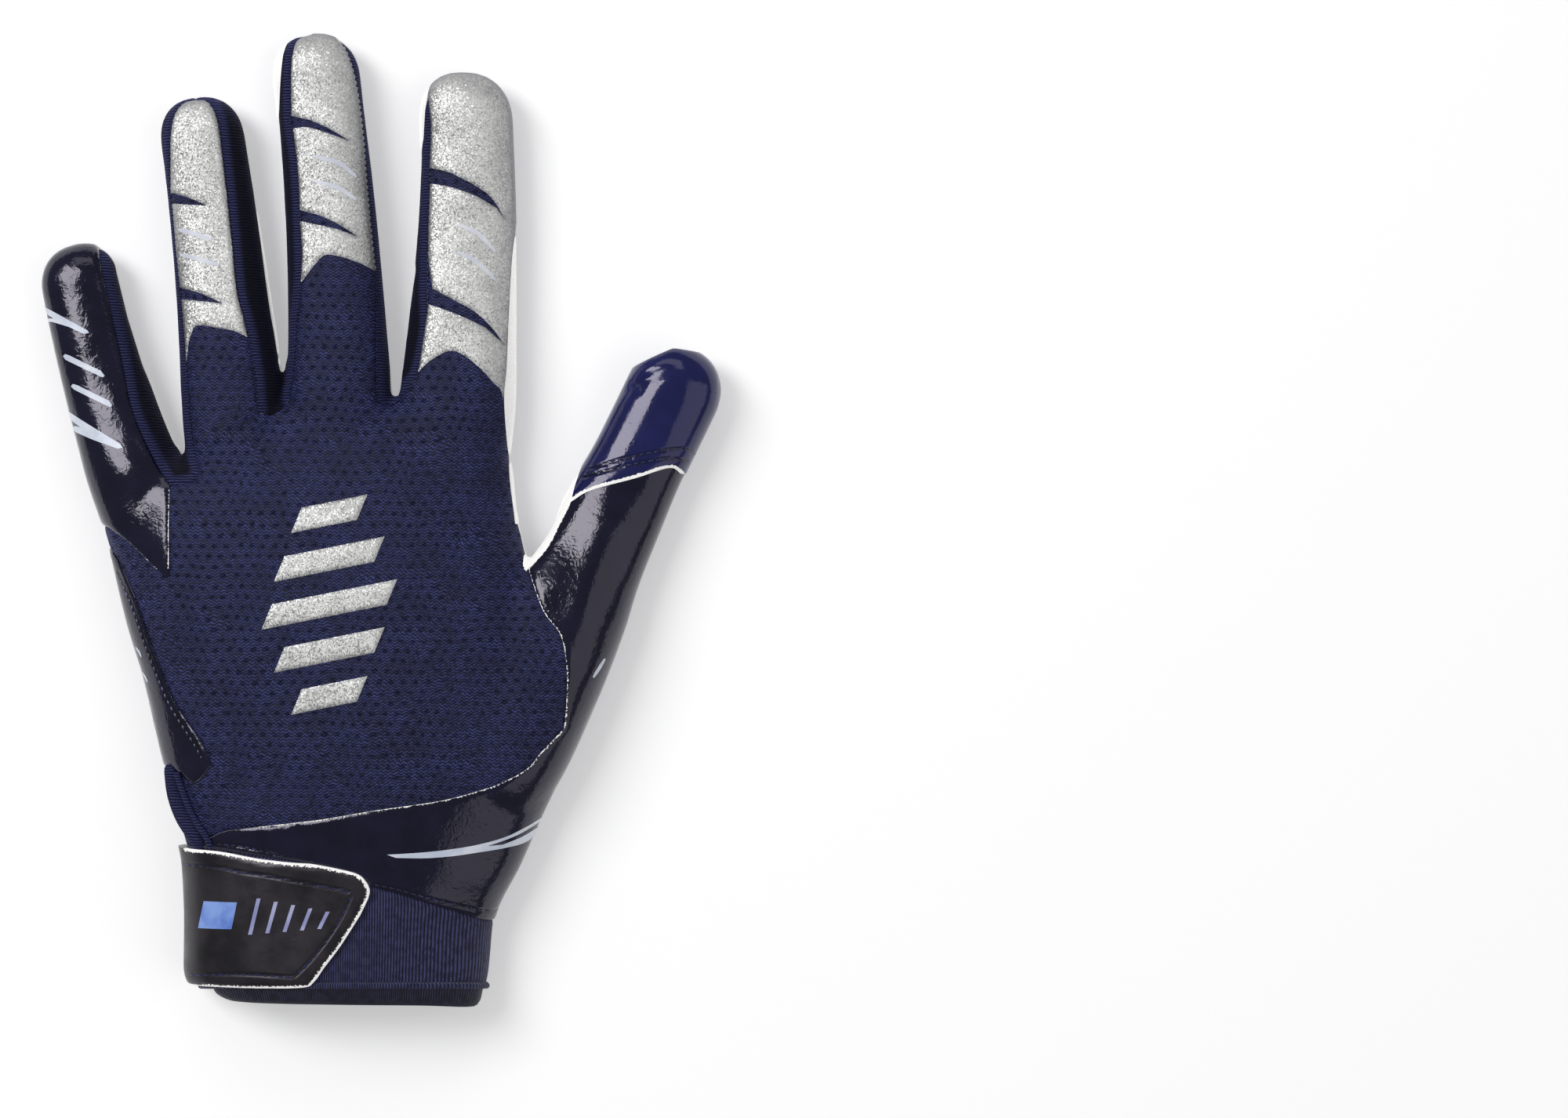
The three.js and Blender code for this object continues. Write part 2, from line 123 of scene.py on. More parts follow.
def new_piece(name, points, faces):
    mesh = bpy.data.meshes.new(name)
    mesh.from_pydata([tuple(p) for p in points], [], faces)
    mesh.update()
    piece = bpy.data.objects.new(name, mesh)
    bpy.context.scene.collection.objects.link(piece)
    return piece


def discard(piece):
    mesh = piece.data
    bpy.data.objects.remove(piece)
    bpy.data.meshes.remove(mesh)


def loft(rings):
    """Points and faces of a closed skin through rings of points, with a point in each end."""
    rows, sides = rings.shape[:2]
    points = np.vstack([rings.reshape(-1, 3), rings[0].mean(axis=0), rings[-1].mean(axis=0)])
    faces = []
    for row in range(rows - 1):
        for side in range(sides):
            after = (side + 1) % sides
            low, high = row * sides, (row + 1) * sides
            faces.append((low + side, high + side, high + after, low + after))
    last = (rows - 1) * sides
    for side in range(sides):
        after = (side + 1) % sides
        faces.append((side, after, rows * sides))
        faces.append((last + after, last + side, rows * sides + 1))
    return points, faces


def skin(x, y, turn, half, rise, dip, sides=72):
    """A closed skin through upright sections: points and faces."""
    angle = np.arange(sides) * 2 * math.pi / sides
    aside = np.sign(np.cos(angle)) * np.abs(np.cos(angle)) ** FULLNESS
    up = np.sign(np.sin(angle)) * np.abs(np.sin(angle)) ** FULLNESS
    height = np.where(up > 0, up * rise[:, None], up * dip[:, None])
    rings = np.stack([
        x[:, None] + aside * (half * np.cos(turn))[:, None],
        y[:, None] + aside * (half * np.sin(turn))[:, None],
        SEAM_HEIGHT + height,
    ], axis=-1)
    points, faces = loft(rings)
    points[:, 2] = np.maximum(points[:, 2], 0)
    return points, faces


def palm_skin():
    at = np.linspace(PALM_SECTIONS[0][0], PALM_SECTIONS[-1][0], 110)
    little, thumb, high = (smooth(PALM_SECTIONS, column, at) for column in (1, 2, 3))
    return skin(
        MOUTH[0] + (thumb - little) * PALM_WIDTH / 4,
        MOUTH[1] + at * PALM_LENGTH,
        np.zeros_like(at),
        (thumb + little) * PALM_WIDTH / 4,
        high * PALM_HEIGHT - SEAM_HEIGHT,
        np.full_like(at, SEAM_HEIGHT * SINK),
    )


def finger_skin(name):
    across, up, bow, lean, length, tip, root, tip_height, root_height = FINGERS[name]
    flares = THUMB_FLARE if name == "thumb" else FINGER_FLARE
    length, tip, root = length * MM, tip * MM, root * MM
    lean = math.radians(lean)
    turns = np.radians(np.linspace(0, 86, 16))
    straight = np.linspace(flares[0][0], 1 - tip / 2 / length, 60)[:-1]
    at = np.concatenate([straight, 1 - tip / 2 * (1 - np.sin(turns)) / length])
    shrink = np.concatenate([np.ones(len(straight)), np.cos(turns) ** TIP_BLUNTNESS])
    flare = smooth(flares, 1, at)
    aside = bow * length * 4 * at * (1 - at)
    forward = at * length
    height = (tip_height + (root_height - tip_height) * flare) * MM
    return skin(
        MOUTH[0] + across * PALM_WIDTH / 2 + forward * math.sin(lean) + aside * math.cos(lean),
        MOUTH[1] + up * PALM_LENGTH + forward * math.cos(lean) - aside * math.sin(lean),
        np.full_like(at, -lean),
        (tip + (root - tip) * flare) / 2 * shrink,
        (height - SEAM_HEIGHT) * shrink,
        SEAM_HEIGHT * SINK * shrink,
    )


def baked(piece):
    """The piece with its modifiers made part of its mesh."""
    graph = bpy.context.evaluated_depsgraph_get()
    mesh = bpy.data.meshes.new_from_object(piece.evaluated_get(graph))
    old = piece.data
    piece.modifiers.clear()
    piece.data = mesh
    bpy.data.meshes.remove(old)
    return piece


# The gaps between the fingers, down to the webs, in pixels of the photograph.
FINGER_GAPS = [
    ((146, 340), (162, 405), (181, 466), (205, 523), (223, 562), (240, 604), (244, 612), (241, 585),
     (236, 536), (229, 436), (222, 340)),
    ((351, 340), (352, 430), (358, 490), (361, 517), (365, 517), (364, 490), (363, 400),
     (366, 340)),
    ((488, 340), (496, 440), (498, 500), (502, 512), (508, 512), (513, 498), (525, 383),
     (532, 340)),
    ((658, 600), (660, 655), (666, 692), (672, 720), (680, 710), (693, 693), (706, 673), (718, 641),
     (730, 605)),
]


def level_place(px, py):
    """A pixel of the photograph, at the seam's height."""
    return np.array([
        MOUTH[0] + (px - MOUTH_PIXEL[0]) * PIXEL,
        MOUTH[1] + (MOUTH_PIXEL[1] - py) * PIXEL,
    ])


def remesh(piece, rounds):
    """One even skin, softened a number of times."""
    change = piece.modifiers.new("one skin", "REMESH")
    change.mode = "VOXEL"
    change.voxel_size = GRAIN
    soften = piece.modifiers.new("soft", "SMOOTH")
    soften.factor = 0.5
    soften.iterations = rounds
    return baked(piece)


def column(outlines, low, high):
    """Upright blocks over outlines."""
    points, faces = [], []
    for outline in outlines:
        x, y = outline[:, 0], outline[:, 1]
        if np.sum(x * np.roll(y, -1) - np.roll(x, -1) * y) < 0:
            outline = outline[::-1]
        count, start = len(outline), len(points)
        points += [(*p, low) for p in outline] + [(*p, high) for p in outline]
        faces.append(tuple(start + i for i in reversed(range(count))))
        faces.append(tuple(start + count + i for i in range(count)))
        for i in range(count):
            j = (i + 1) % count
            faces.append((start + i, start + j, start + count + j, start + count + i))
    return new_piece("block", points, faces)


def cut(piece, tool, operation):
    change = piece.modifiers.new("cut", "BOOLEAN")
    change.solver = "MANIFOLD"
    change.operation = operation
    change.object = tool
    baked(piece)
    discard(tool)
    return piece


def hand_form():
    points, faces = [], []
    for some_points, some_faces in [palm_skin()] + [finger_skin(name) for name in FINGERS]:
        start = sum(len(p) for p in points)
        points.append(some_points)
        faces += [tuple(start + i for i in face) for face in some_faces]
    form = remesh(new_piece("hand_form", np.vstack(points), faces), 12)
    gaps = [np.array([level_place(*pixel) for pixel in gap]) for gap in FINGER_GAPS]
    cut(form, column(gaps, -MM, TALL), "DIFFERENCE")
    return remesh(form, 5)


def places(piece):
    spots = np.empty(len(piece.data.vertices) * 3)
    piece.data.vertices.foreach_get("co", spots)
    return spots.reshape(-1, 3)


def normals(piece):
    found = np.empty(len(piece.data.vertices) * 3)
    piece.data.vertex_normals.foreach_get("vector", found)
    return found.reshape(-1, 3)


def move_to(piece, spots):
    piece.data.vertices.foreach_set("co", np.ascontiguousarray(spots).ravel())
    piece.data.update()


eye = Vector((*level_place(FRAME_WIDTH / 2, FRAME_HEIGHT / 2), LEVEL + CAMERA_DISTANCE))
form = hand_form()
bend = places(form)
lift = normals(form)[:, 2].clip(0, 1)
# The tip of the thumb is pinched flat on the side towards the hand, and blunt at its end.
# The pinch raises a ridge beside it and a hollow behind that.
PINCH_SHARE, RIDGE_LENGTH = 0.9, 13 * MM
RIDGE_AT, RIDGE_WIDTH = 1.6 * MM, 1.0 * MM
HOLLOW_AT, HOLLOW_WIDTH = 4 * MM, 1.3 * MM
THUMB_TIP = level_place(770, 520)
PINCHES = [
    # first end, last end, ridge's height in mm
    ((798, 477), (860, 449), 0.7),
    ((846, 447), (905, 455), 0.0),
]
on_thumb = (bend[:, :2] > THUMB_TIP).all(axis=1)
for first, last, raised in PINCHES:
    a, b = level_place(*first), level_place(*last)
    way = (b - a) / np.linalg.norm(b - a)
    out = np.array([-way[1], way[0]])
    past, along = (bend[:, :2] - a) @ out, (bend[:, :2] - a) @ way
    bend[:, :2] -= out * (past.clip(0) * on_thumb * PINCH_SHARE)[:, None]
    ridge = (np.exp(-((past + RIDGE_AT) / RIDGE_WIDTH) ** 2)
             - np.exp(-((past + HOLLOW_AT) / HOLLOW_WIDTH) ** 2))
    bend[:, 2] += on_thumb * lift * ridge * raised * MM * (1 - (along / RIDGE_LENGTH).clip(0, 1))
# Slack cloth: broad low waves over the back, each row bent by a slower one.
WAVE_HEIGHT = 0.22 * MM
wave = (np.sin(bend[:, 0] / (6.1 * MM) + 1.3 * np.sin(bend[:, 1] / (9.7 * MM)))
        * np.sin(bend[:, 1] / (8.3 * MM) + 0.9 * np.sin(bend[:, 0] / (11.3 * MM))))
bend[:, 2] += WAVE_HEIGHT * wave * lift
CREASES = [
    # first end, last end, depth and width in mm; a depth below zero is a low fold
    ((246, 604), (358, 516), 0.45, 1.4),
    ((362, 520), (352, 600), 0.3, 2.0),
    ((500, 516), (506, 600), 0.35, 2.2),
    ((150, 720), (205, 770), 0.25, 1.8),
    ((640, 560), (560, 640), 0.2, 2.5),
    ((260, 1040), (330, 985), 0.25, 2.0),
    ((799, 478), (818, 500), 0.8, 0.9),
    ((300, 1062), (360, 1085), 0.3, 1.6),
    ((352, 1050), (372, 1092), -0.25, 1.5),
    ((395, 1052), (405, 1090), 0.3, 1.5),
    ((772, 680), (748, 790), -0.9, 5.0),
    ((180, 598), (205, 602), -0.9, 5.5),
]
for first, last, depth, width in CREASES:
    a, b = level_place(*first), level_place(*last)
    way = b - a
    share = ((bend[:, :2] - a) @ way / (way @ way)).clip(0, 1)
    gap = np.linalg.norm(bend[:, :2] - a - share[:, None] * way, axis=1)
    bend[:, 2] -= depth * MM * lift * np.exp(-(gap / (width * MM)) ** 2)
bend[:, 2] = bend[:, 2].clip(0)
move_to(form, bend)
form_tree = BVHTree.FromObject(form, bpy.context.evaluated_depsgraph_get())


# Palm: one sheet of grippy coated leather under the hand, fingers and thumb. Its raw edge
# stands out past the back at the seam, so a white rim shows beside the fingers, lifted by a
# painted glow. The helpers for outlines, sheets and materials come first, as this is the first
# piece that needs them.
CURVE_STEPS = 6


def seen(px, py):
    """Where a pixel of the photograph meets the glove, from above; past it, at the level."""
    flat = level_place(px, py)
    towards = (Vector((*flat, LEVEL)) - eye).normalized()
    hit = form_tree.ray_cast(eye, towards)[0]
    if hit is None or hit.z < SEAM_HEIGHT:
        return flat
    return np.array([hit.x, hit.y])


def line(*pixels):
    return np.array([seen(*pixel) for pixel in pixels])


def curved(*pixels, steps=CURVE_STEPS):
    """A smooth line through pixels of the photograph."""
    spots = line(*pixels)
    padded = np.vstack([2 * spots[0] - spots[1], spots, 2 * spots[-1] - spots[-2]])
    found = []
    for a, b, c, d in zip(padded, padded[1:], padded[2:], padded[3:]):
        for t in np.arange(steps) / steps:
            found.append(0.5 * (2 * b + (c - a) * t + (2 * a - 5 * b + 4 * c - d) * t**2
                                + (3 * b - a - 3 * c + d) * t**3))
    return np.array(found + [spots[-1]])


def stretch(path, first, last):
    """The part of a curve between two of its pixels, which are counted from 0."""
    return path[round(first * CURVE_STEPS):round(last * CURVE_STEPS)]


def closed(outline):
    """The outline with its first point again at the end."""
    return np.vstack([outline, outline[:1]])


def grown(outline, by):
    """The outline with its edges moved outwards."""
    before = outline - np.roll(outline, 1, axis=0)
    after = np.roll(outline, -1, axis=0) - outline
    before /= np.linalg.norm(before, axis=1, keepdims=True)
    after /= np.linalg.norm(after, axis=1, keepdims=True)
    along = before + after
    along /= np.linalg.norm(along, axis=1, keepdims=True).clip(1e-9)
    outward = np.stack([along[:, 1], -along[:, 0]], axis=1)
    x, y = outline[:, 0], outline[:, 1]
    area = np.sum(x * np.roll(y, -1) - np.roll(x, -1) * y)
    stretch = (before * along).sum(axis=1, keepdims=True).clip(0.4)
    return outline + outward * math.copysign(by, area) / stretch


def layer(source, low, high, name):
    """The sheet between two heights over a closed surface."""
    mesh = source.data
    spots, out = places(source), normals(source)
    loops = np.empty(len(mesh.loops), np.int32)
    mesh.loops.foreach_get("vertex_index", loops)
    starts = np.empty(len(mesh.polygons), np.int32)
    totals = np.empty(len(mesh.polygons), np.int32)
    mesh.polygons.foreach_get("loop_start", starts)
    mesh.polygons.foreach_get("loop_total", totals)
    order = 2 * np.repeat(starts, totals) + np.repeat(totals, totals) - 1
    turned = loops[order - np.arange(len(loops))]
    outer, inner = spots + out * high, spots + out * low
    outer[:, 2] = outer[:, 2].clip(0)
    sheet = bpy.data.meshes.new(name)
    sheet.vertices.add(2 * len(spots))
    sheet.vertices.foreach_set("co", np.vstack([outer, inner]).ravel())
    sheet.loops.add(2 * len(loops))
    sheet.loops.foreach_set("vertex_index", np.concatenate([loops, turned + len(spots)]))
    sheet.polygons.add(2 * len(starts))
    sheet.polygons.foreach_set("loop_start", np.concatenate([starts, starts + len(loops)]))
    sheet.update(calc_edges=True)
    piece = bpy.data.objects.new(name, sheet)
    bpy.context.scene.collection.objects.link(piece)
    return piece


MARGIN = 5 * MM


def region(outlines, low=-1 * MM, high=TALL):
    """The part of the hand form round some outlines."""
    everything = np.vstack(outlines)
    a, b = everything.min(axis=0) - MARGIN, everything.max(axis=0) + MARGIN
    corners = np.array([[a[0], a[1]], [b[0], a[1]], [b[0], b[1]], [a[0], b[1]]])
    part = bpy.data.objects.new("region", form.data.copy())
    bpy.context.scene.collection.objects.link(part)
    return cut(part, column([corners], low, high), "INTERSECT")


def sheet_piece(name, outlines, low, high, floor, clear_of=(), roof=TALL):
    """A sheet over the form, cut by outlines and clear of others."""
    part = region(outlines, floor - MARGIN, roof)
    piece = layer(part, low, high, name)
    discard(part)
    cut(piece, column(outlines, floor, roof), "INTERSECT")
    for other in clear_of:
        cut(piece, column([grown(other, SEAM_GAP)], floor - MM, roof), "DIFFERENCE")
    return piece


SEAM_GAP = 0.05 * MM
SEAM_LINE = SEAM_HEIGHT + 0.1 * MM


def distances(piece, lines):
    """How far each point of a piece is from the nearest line, seen from above."""
    flat = places(piece)[:, :2]
    nearest = np.full(len(flat), 1.0)
    for one in lines:
        for a, b in zip(one, one[1:]):
            way = b - a
            share = ((flat - a) @ way / max(way @ way, 1e-12)).clip(0, 1)
            gap = np.linalg.norm(flat - a - share[:, None] * way, axis=1)
            nearest = np.minimum(nearest, gap)
    return nearest


def mark(piece, name, values):
    """Keeps a number per point, in millimetres, for the material."""
    column_of = piece.data.attributes.new(name, "FLOAT", "POINT")
    column_of.data.foreach_set("value", (values / MM).astype(np.float32))


def over_form(piece):
    """For each point, the way out of the hand form and the height over it."""
    spots = places(piece)
    way = np.empty_like(spots)
    height = np.empty(len(spots))
    for i, spot in enumerate(spots):
        near, out, _, _ = form_tree.find_nearest(Vector(spot))
        way[i] = out
        height[i] = (Vector(spot) - near).dot(out)
    return way, height


def finish(piece, material, node, lines=(), dip=0.0, reach=1.0 * MM, sharp=40, cuts=None,
           seams=()):
    """Sinks a piece's edges along lines, gives it its material and fixes it to the frame."""
    far = np.full(len(piece.data.vertices), 1.0)
    gap = distances(piece, lines) if len(lines) else far
    if dip:
        way, height = over_form(piece)
        top = height > height.max() - 0.3 * MM
        drop = dip * (1 - (gap / reach).clip(0, 1)) ** 2 * top
        move_to(piece, places(piece) - way * drop[:, None])
    grounded = places(piece)
    grounded[:, 2] = grounded[:, 2].clip(0)
    move_to(piece, grounded)
    if cuts is not None:
        gap = distances(piece, cuts) if len(cuts) else far
    mark(piece, "rim", gap)
    mark(piece, "seam", distances(piece, seams) if len(seams) else far)
    piece.data.shade_smooth()
    piece.data.set_sharp_from_angle(angle=math.radians(sharp))
    piece.data.materials.clear()
    piece.data.materials.append(material)
    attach(piece, "root")
    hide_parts(node)
    return piece


def srgb(code):
    """A colour written as six hexadecimal digits, in linear light."""
    parts = [int(code[i:i + 2], 16) / 255 for i in (0, 2, 4)]
    linear = [p / 12.92 if p <= 0.04045 else ((p + 0.055) / 1.055) ** 2.4 for p in parts]
    return (*linear, 1)


def node(tree, kind, inputs=None, **settings):
    """A new node, with its inputs linked to sockets or set to values."""
    made = tree.nodes.new(kind)
    for key, value in settings.items():
        setattr(made, key, value)
    for key, value in (inputs or {}).items():
        if isinstance(value, bpy.types.NodeSocket):
            tree.links.new(value, made.inputs[key])
        else:
            made.inputs[key].default_value = value
    return made


def math_node(operation, *values):
    tree = next(value.id_data for value in values if isinstance(value, bpy.types.NodeSocket))
    return node(tree, "ShaderNodeMath", dict(enumerate(values)), operation=operation).outputs[0]


add = partial(math_node, "ADD")
subtract = partial(math_node, "SUBTRACT")
multiply = partial(math_node, "MULTIPLY")
divide = partial(math_node, "DIVIDE")
power = partial(math_node, "POWER")
multiply_add = partial(math_node, "MULTIPLY_ADD")


def range_node(value, low, high, to_low=0.0, to_high=1.0, kind="SMOOTHSTEP"):
    made = node(value.id_data, "ShaderNodeMapRange", {
        "Value": value, "From Min": low, "From Max": high, "To Min": to_low, "To Max": to_high,
    }, interpolation_type=kind)
    return made.outputs["Result"]


MIX_SHARE, MIX_A, MIX_B, MIX_COLOR = 0, 6, 7, 2


def mix_node(share, a, b):
    """Two colours mixed by a share."""
    inputs = {MIX_SHARE: share, MIX_A: a, MIX_B: b}
    return node(share.id_data, "ShaderNodeMix", inputs, data_type="RGBA").outputs[MIX_COLOR]


def noise(spot, scale, detail, distortion=0.0):
    return node(spot.id_data, "ShaderNodeTexNoise", {
        "Vector": spot, "Scale": scale, "Detail": detail, "Distortion": distortion,
    }).outputs[0]


def kept(tree, name):
    """A number that the points of a piece keep for its material, in millimetres."""
    return node(tree, "ShaderNodeAttribute", attribute_name=name).outputs["Fac"]


def feed(shader, **sockets):
    """Links sockets to a shader's inputs."""
    for key, socket in sockets.items():
        shader.id_data.links.new(socket, shader.inputs[key.replace("_", " ")])


def dent(shader, height, strength, distance):
    """Bumps a material's surface by a height."""
    feed(shader, Normal=node(shader.id_data, "ShaderNodeBump", {
        "Strength": strength, "Distance": distance, "Height": height,
    }).outputs[0])


def new_group(name, inputs, outputs):
    tree = bpy.data.node_groups.new(name, "ShaderNodeTree")
    for socket, kind, value in inputs:
        made = tree.interface.new_socket(socket, in_out="INPUT", socket_type=kind)
        made.default_value = value
    for socket, kind in outputs:
        tree.interface.new_socket(socket, in_out="OUTPUT", socket_type=kind)
    return tree, tree.nodes.new("NodeGroupInput").outputs, tree.nodes.new("NodeGroupOutput").inputs


def group_node(tree, group, inputs=None):
    return node(tree, "ShaderNodeGroup", inputs, node_tree=group).outputs


def millimetres(tree):
    """The place on the glove, in millimetres."""
    spot = node(tree, "ShaderNodeTexCoord").outputs["Object"]
    return node(tree, "ShaderNodeVectorMath", {0: spot, 1: (1000, 1000, 1000)},
                operation="MULTIPLY").outputs[0]


FLOAT = "NodeSocketFloat"


def shader_material(name, **constants):
    material = bpy.data.materials.new(name)
    material.use_nodes = True
    tree = material.node_tree
    shader = tree.nodes["Principled BSDF"]
    for key, value in constants.items():
        shader.inputs[key.replace("_", " ")].default_value = value
    return material, tree, shader


# Cut edge of a coated sheet: the white suede of its backing shows, a little frayed.
cut_edge, edge_in, edge_out = new_group(
    "cut edge", [("Width", FLOAT, 0.35), ("Fray", FLOAT, 0.3)],
    [("Mask", FLOAT), ("Height", FLOAT)])
spot = millimetres(cut_edge)
fray = noise(spot, 2.2, 3.0)
rim = kept(cut_edge, "rim")
frayed = multiply(subtract(fray, 0.5), edge_in["Fray"])
ragged = add(rim, multiply(frayed, 3.0))
inside = subtract(ragged, edge_in["Width"])
cut_edge.links.new(range_node(inside, -0.05, 0.05, 1.0, 0.0), edge_out["Mask"])
cut_edge.links.new(fray, edge_out["Height"])

# Grain of a coated surface: fine dimples, ripples that break up its reflections, and clouds.
grain_group, grain_in, grain_out = new_group(
    "grain", [("Scale", FLOAT, 1.4), ("Ripple", FLOAT, 0.05)],
    [("Height", FLOAT), ("Cloud", FLOAT)])
spot = millimetres(grain_group)
cells = node(grain_group, "ShaderNodeTexVoronoi", {"Vector": spot, "Scale": grain_in["Scale"]},
             feature="SMOOTH_F1").outputs["Distance"]
cloud = noise(spot, 0.16, 4.0)
ripple = noise(spot, 0.7, 2.5, distortion=0.8)
swell = noise(spot, 0.1, 1.0)
height = multiply_add(swell, 4.0, ripple)
height = multiply(height, grain_in["Ripple"])
grain_group.links.new(multiply_add(cells, 0.006, height), grain_out["Height"])
grain_group.links.new(cloud, grain_out["Cloud"])


def coated_material(name, face, glow, roughness, edge=0.3, fray=0.2, grain=1.4, ripple=0.06):
    """A coated sheet: glossy grained face, drawn in at its seams under painted shade, with suede at
    the cut that has a painted glow.
    """
    material, tree, shader = shader_material(name, Specular_IOR_Level=0.55)
    shader.inputs["Specular Tint"].default_value = (0.93, 0.89, 1, 1)
    marks = group_node(tree, cut_edge, {"Width": edge, "Fray": fray})
    skin_of = group_node(tree, grain_group, {"Scale": grain, "Ripple": ripple})
    tone = mix_node(range_node(skin_of["Cloud"], 0.35, 0.7), srgb(face), srgb(glow))
    seam = kept(tree, "seam")
    groove = range_node(seam, 0.1, 0.8, 1.0, 0.0)
    # Painted shade: along its seams the face is painted towards near black, as the shade in the
    # groove.
    tone = mix_node(multiply(groove, 0.7), tone, srgb("07070F"))
    suede = mix_node(marks["Height"], srgb("ECEAE6"), srgb("FFFFFE"))
    feed(shader, Base_Color=mix_node(marks["Mask"], tone, suede))
    # Painted light: the suede glows a little through emission, so it stays white where it lies in
    # shade.
    pale = mix_node(marks["Mask"], (0, 0, 0, 1), suede)
    feed(shader, Emission_Color=pale)
    shader.inputs["Emission Strength"].default_value = 0.3
    rough = range_node(skin_of["Cloud"], 0.3, 0.7, roughness, roughness * 1.5)
    rough = add(rough, multiply(marks["Mask"], 0.8))
    feed(shader, Roughness=rough)
    height = multiply_add(multiply(marks["Mask"], marks["Height"]), 0.25, skin_of["Height"])
    height = multiply_add(groove, -0.12, height)
    dent(shader, height, 1.0, MM)
    return material


CUFF_TOP = curved((60, 1079), (240, 1079), (320, 1090), (394, 1102), (473, 1130), (512, 1141),
                  (581, 1162), (633, 1173), (760, 1199))
cuff_block = np.vstack([CUFF_TOP, line((760, 1500), (60, 1500))])
whole_hand = line((20, 1300), (1000, 1300), (1000, 20), (20, 20))
grip = coated_material("grip", "161944", "191D4E", 0.12, edge=0.3, fray=0.15, grain=2.4,
                       ripple=0.03)

palm = sheet_piece("palm", [whole_hand], -WALL, 0, -MM, [cuff_block],
                   roof=SEAM_HEIGHT - 0.1 * MM)
spots = places(palm)
way, height = over_form(palm)
rise = ((spots[:, 2] / SEAM_HEIGHT - 0.45) / 0.55).clip(0, 1) ** 2
sideways = way.copy()
sideways[:, 2] = 0
# Where the suede edge shows widest: pixel ranges, the side it looks to, its width, and how far
# it fades in from below and from above, in mm.
FLANGES = [
    ((290, 130, 365, 480), 1, 0.3, 6, 12),
    ((120, 330, 215, 600), 1, 0.5, 4, 4),
    ((340, 55, 372, 170), -1, 0.6, 6, 4),
    ((528, 112, 548, 200), -1, 0.6, 6, 4),
    ((640, 300, 668, 672), 1, 0.5, 4, 45),
    ((660, 470, 810, 740), -1, 0.3, 4, 8),
]
flange = np.full(len(spots), 0.15)
for (x0, y0, x1, y1), side, width, below, above in FLANGES:
    low, high = level_place(x0, y1) - 2 * MM, level_place(x1, y0) + 2 * MM
    inside = ((spots[:, :2] > low) & (spots[:, :2] < high)).all(axis=1)
    fade = (((spots[:, 1] - low[1]) / (below * MM)).clip(0, 1)
            * ((high[1] - spots[:, 1]) / (above * MM)).clip(0, 1))
    facing = (way[:, 0] * side - 0.1).clip(0, 0.4) / 0.4
    flange = np.where(inside, np.maximum(flange, width * facing * fade), flange)
move_to(palm, spots + sideways * (rise * flange)[:, None] * MM)
finish(palm, grip, "palm_panel")
palm_rim = SEAM_HEIGHT - 0.1 * MM - places(palm)[:, 2]
palm.data.attributes["rim"].data.foreach_set("value", (palm_rim / MM).astype(np.float32))

# Back of the hand: one panel of dark blue knit mesh. Its courses run in fine zigzags round a
# staggered net of small dimples. It goes on under the finger films.
NET_STEP, NET_RISE = 2.9, 2.5
DIMPLE_CORE, DIMPLE_RIM = 0.2, 1.05
ZIGZAG_HALF, ZIGZAG_RISE = 0.62, 0.85
knit_group, knit_in, knit_out = new_group(
    "knit", [("Course", FLOAT, 0.74)], [("Height", FLOAT), ("Hole", FLOAT), ("Thread", FLOAT)])
spot = millimetres(knit_group)
axes = node(knit_group, "ShaderNodeSeparateXYZ", {0: spot}).outputs
wander = noise(spot, 0.08, 2.0)
drift = multiply(subtract(wander, 0.5), 6.0)
fuzz = noise(spot, 1.1, 3.0)
jitter = multiply(subtract(fuzz, 0.5), 0.5)
knit_x = add(axes[0], drift)
knit_y = add(axes[1], multiply_add(drift, 0.5, jitter))
swing = math_node("PINGPONG", knit_x, ZIGZAG_HALF)
course = divide(add(knit_y, multiply(swing, ZIGZAG_RISE)), knit_in["Course"])
yarn = math_node("SINE", multiply(course, 2 * math.pi))
yarn = power(multiply_add(yarn, 0.5, 0.5), 1.6)
row = math_node("FLOOR", divide(knit_y, NET_RISE))
shifted = add(knit_x, multiply(row, NET_STEP / 2))
net_x = math_node("FLOORED_MODULO", shifted, NET_STEP)
net_x = subtract(net_x, NET_STEP / 2)
net_y = math_node("FLOORED_MODULO", knit_y, NET_RISE)
net_y = subtract(net_y, NET_RISE / 2)
around = math_node("SQRT", add(power(net_x, 2.0), power(multiply(net_y, 1.25), 2.0)))
hole = range_node(around, DIMPLE_CORE, DIMPLE_RIM, 1.0, 0.0)
patch = noise(spot, 0.05, 2.0)
hole = multiply(hole, range_node(patch, 0.3, 0.6, 0.55, 1.0))
yarn = multiply(yarn, range_node(fuzz, 0.3, 0.62, 0.25, 1.0))
knit_group.links.new(subtract(multiply(yarn, 0.6), hole), knit_out["Height"])
knit_group.links.new(hole, knit_out["Hole"])
knit_group.links.new(yarn, knit_out["Thread"])

knit, tree, shader = shader_material("knit", Specular_IOR_Level=0.25, Sheen_Weight=0.2,
                                     Sheen_Roughness=0.4)
shader.inputs["Sheen Tint"].default_value = srgb("3C4490")
mesh_of = group_node(tree, knit_group)
cloud_of = group_node(tree, grain_group)
# Painted highlight: the yarn's crests are painted lighter than its hollows. In cloudy patches a
# darker, shaded copy of the yarn is mixed in as painted shade.
thread = mix_node(mesh_of["Thread"], srgb("0B0C22"), srgb("484F90"))
shaded = mix_node(mesh_of["Thread"], srgb("0A0A1E"), srgb("3D4379"))
thread = mix_node(range_node(cloud_of["Cloud"], 0.35, 0.68), shaded, thread)
# Painted shade: the dimples are painted near black.
hollow = multiply(mesh_of["Hole"], 0.62)
feed(shader, Base_Color=mix_node(hollow, thread, srgb("0A0B20")))
feed(shader, Roughness=range_node(mesh_of["Hole"], 0.0, 1.0, 0.62, 0.95))
dent(shader, mesh_of["Height"], 0.8, 0.25 * MM)

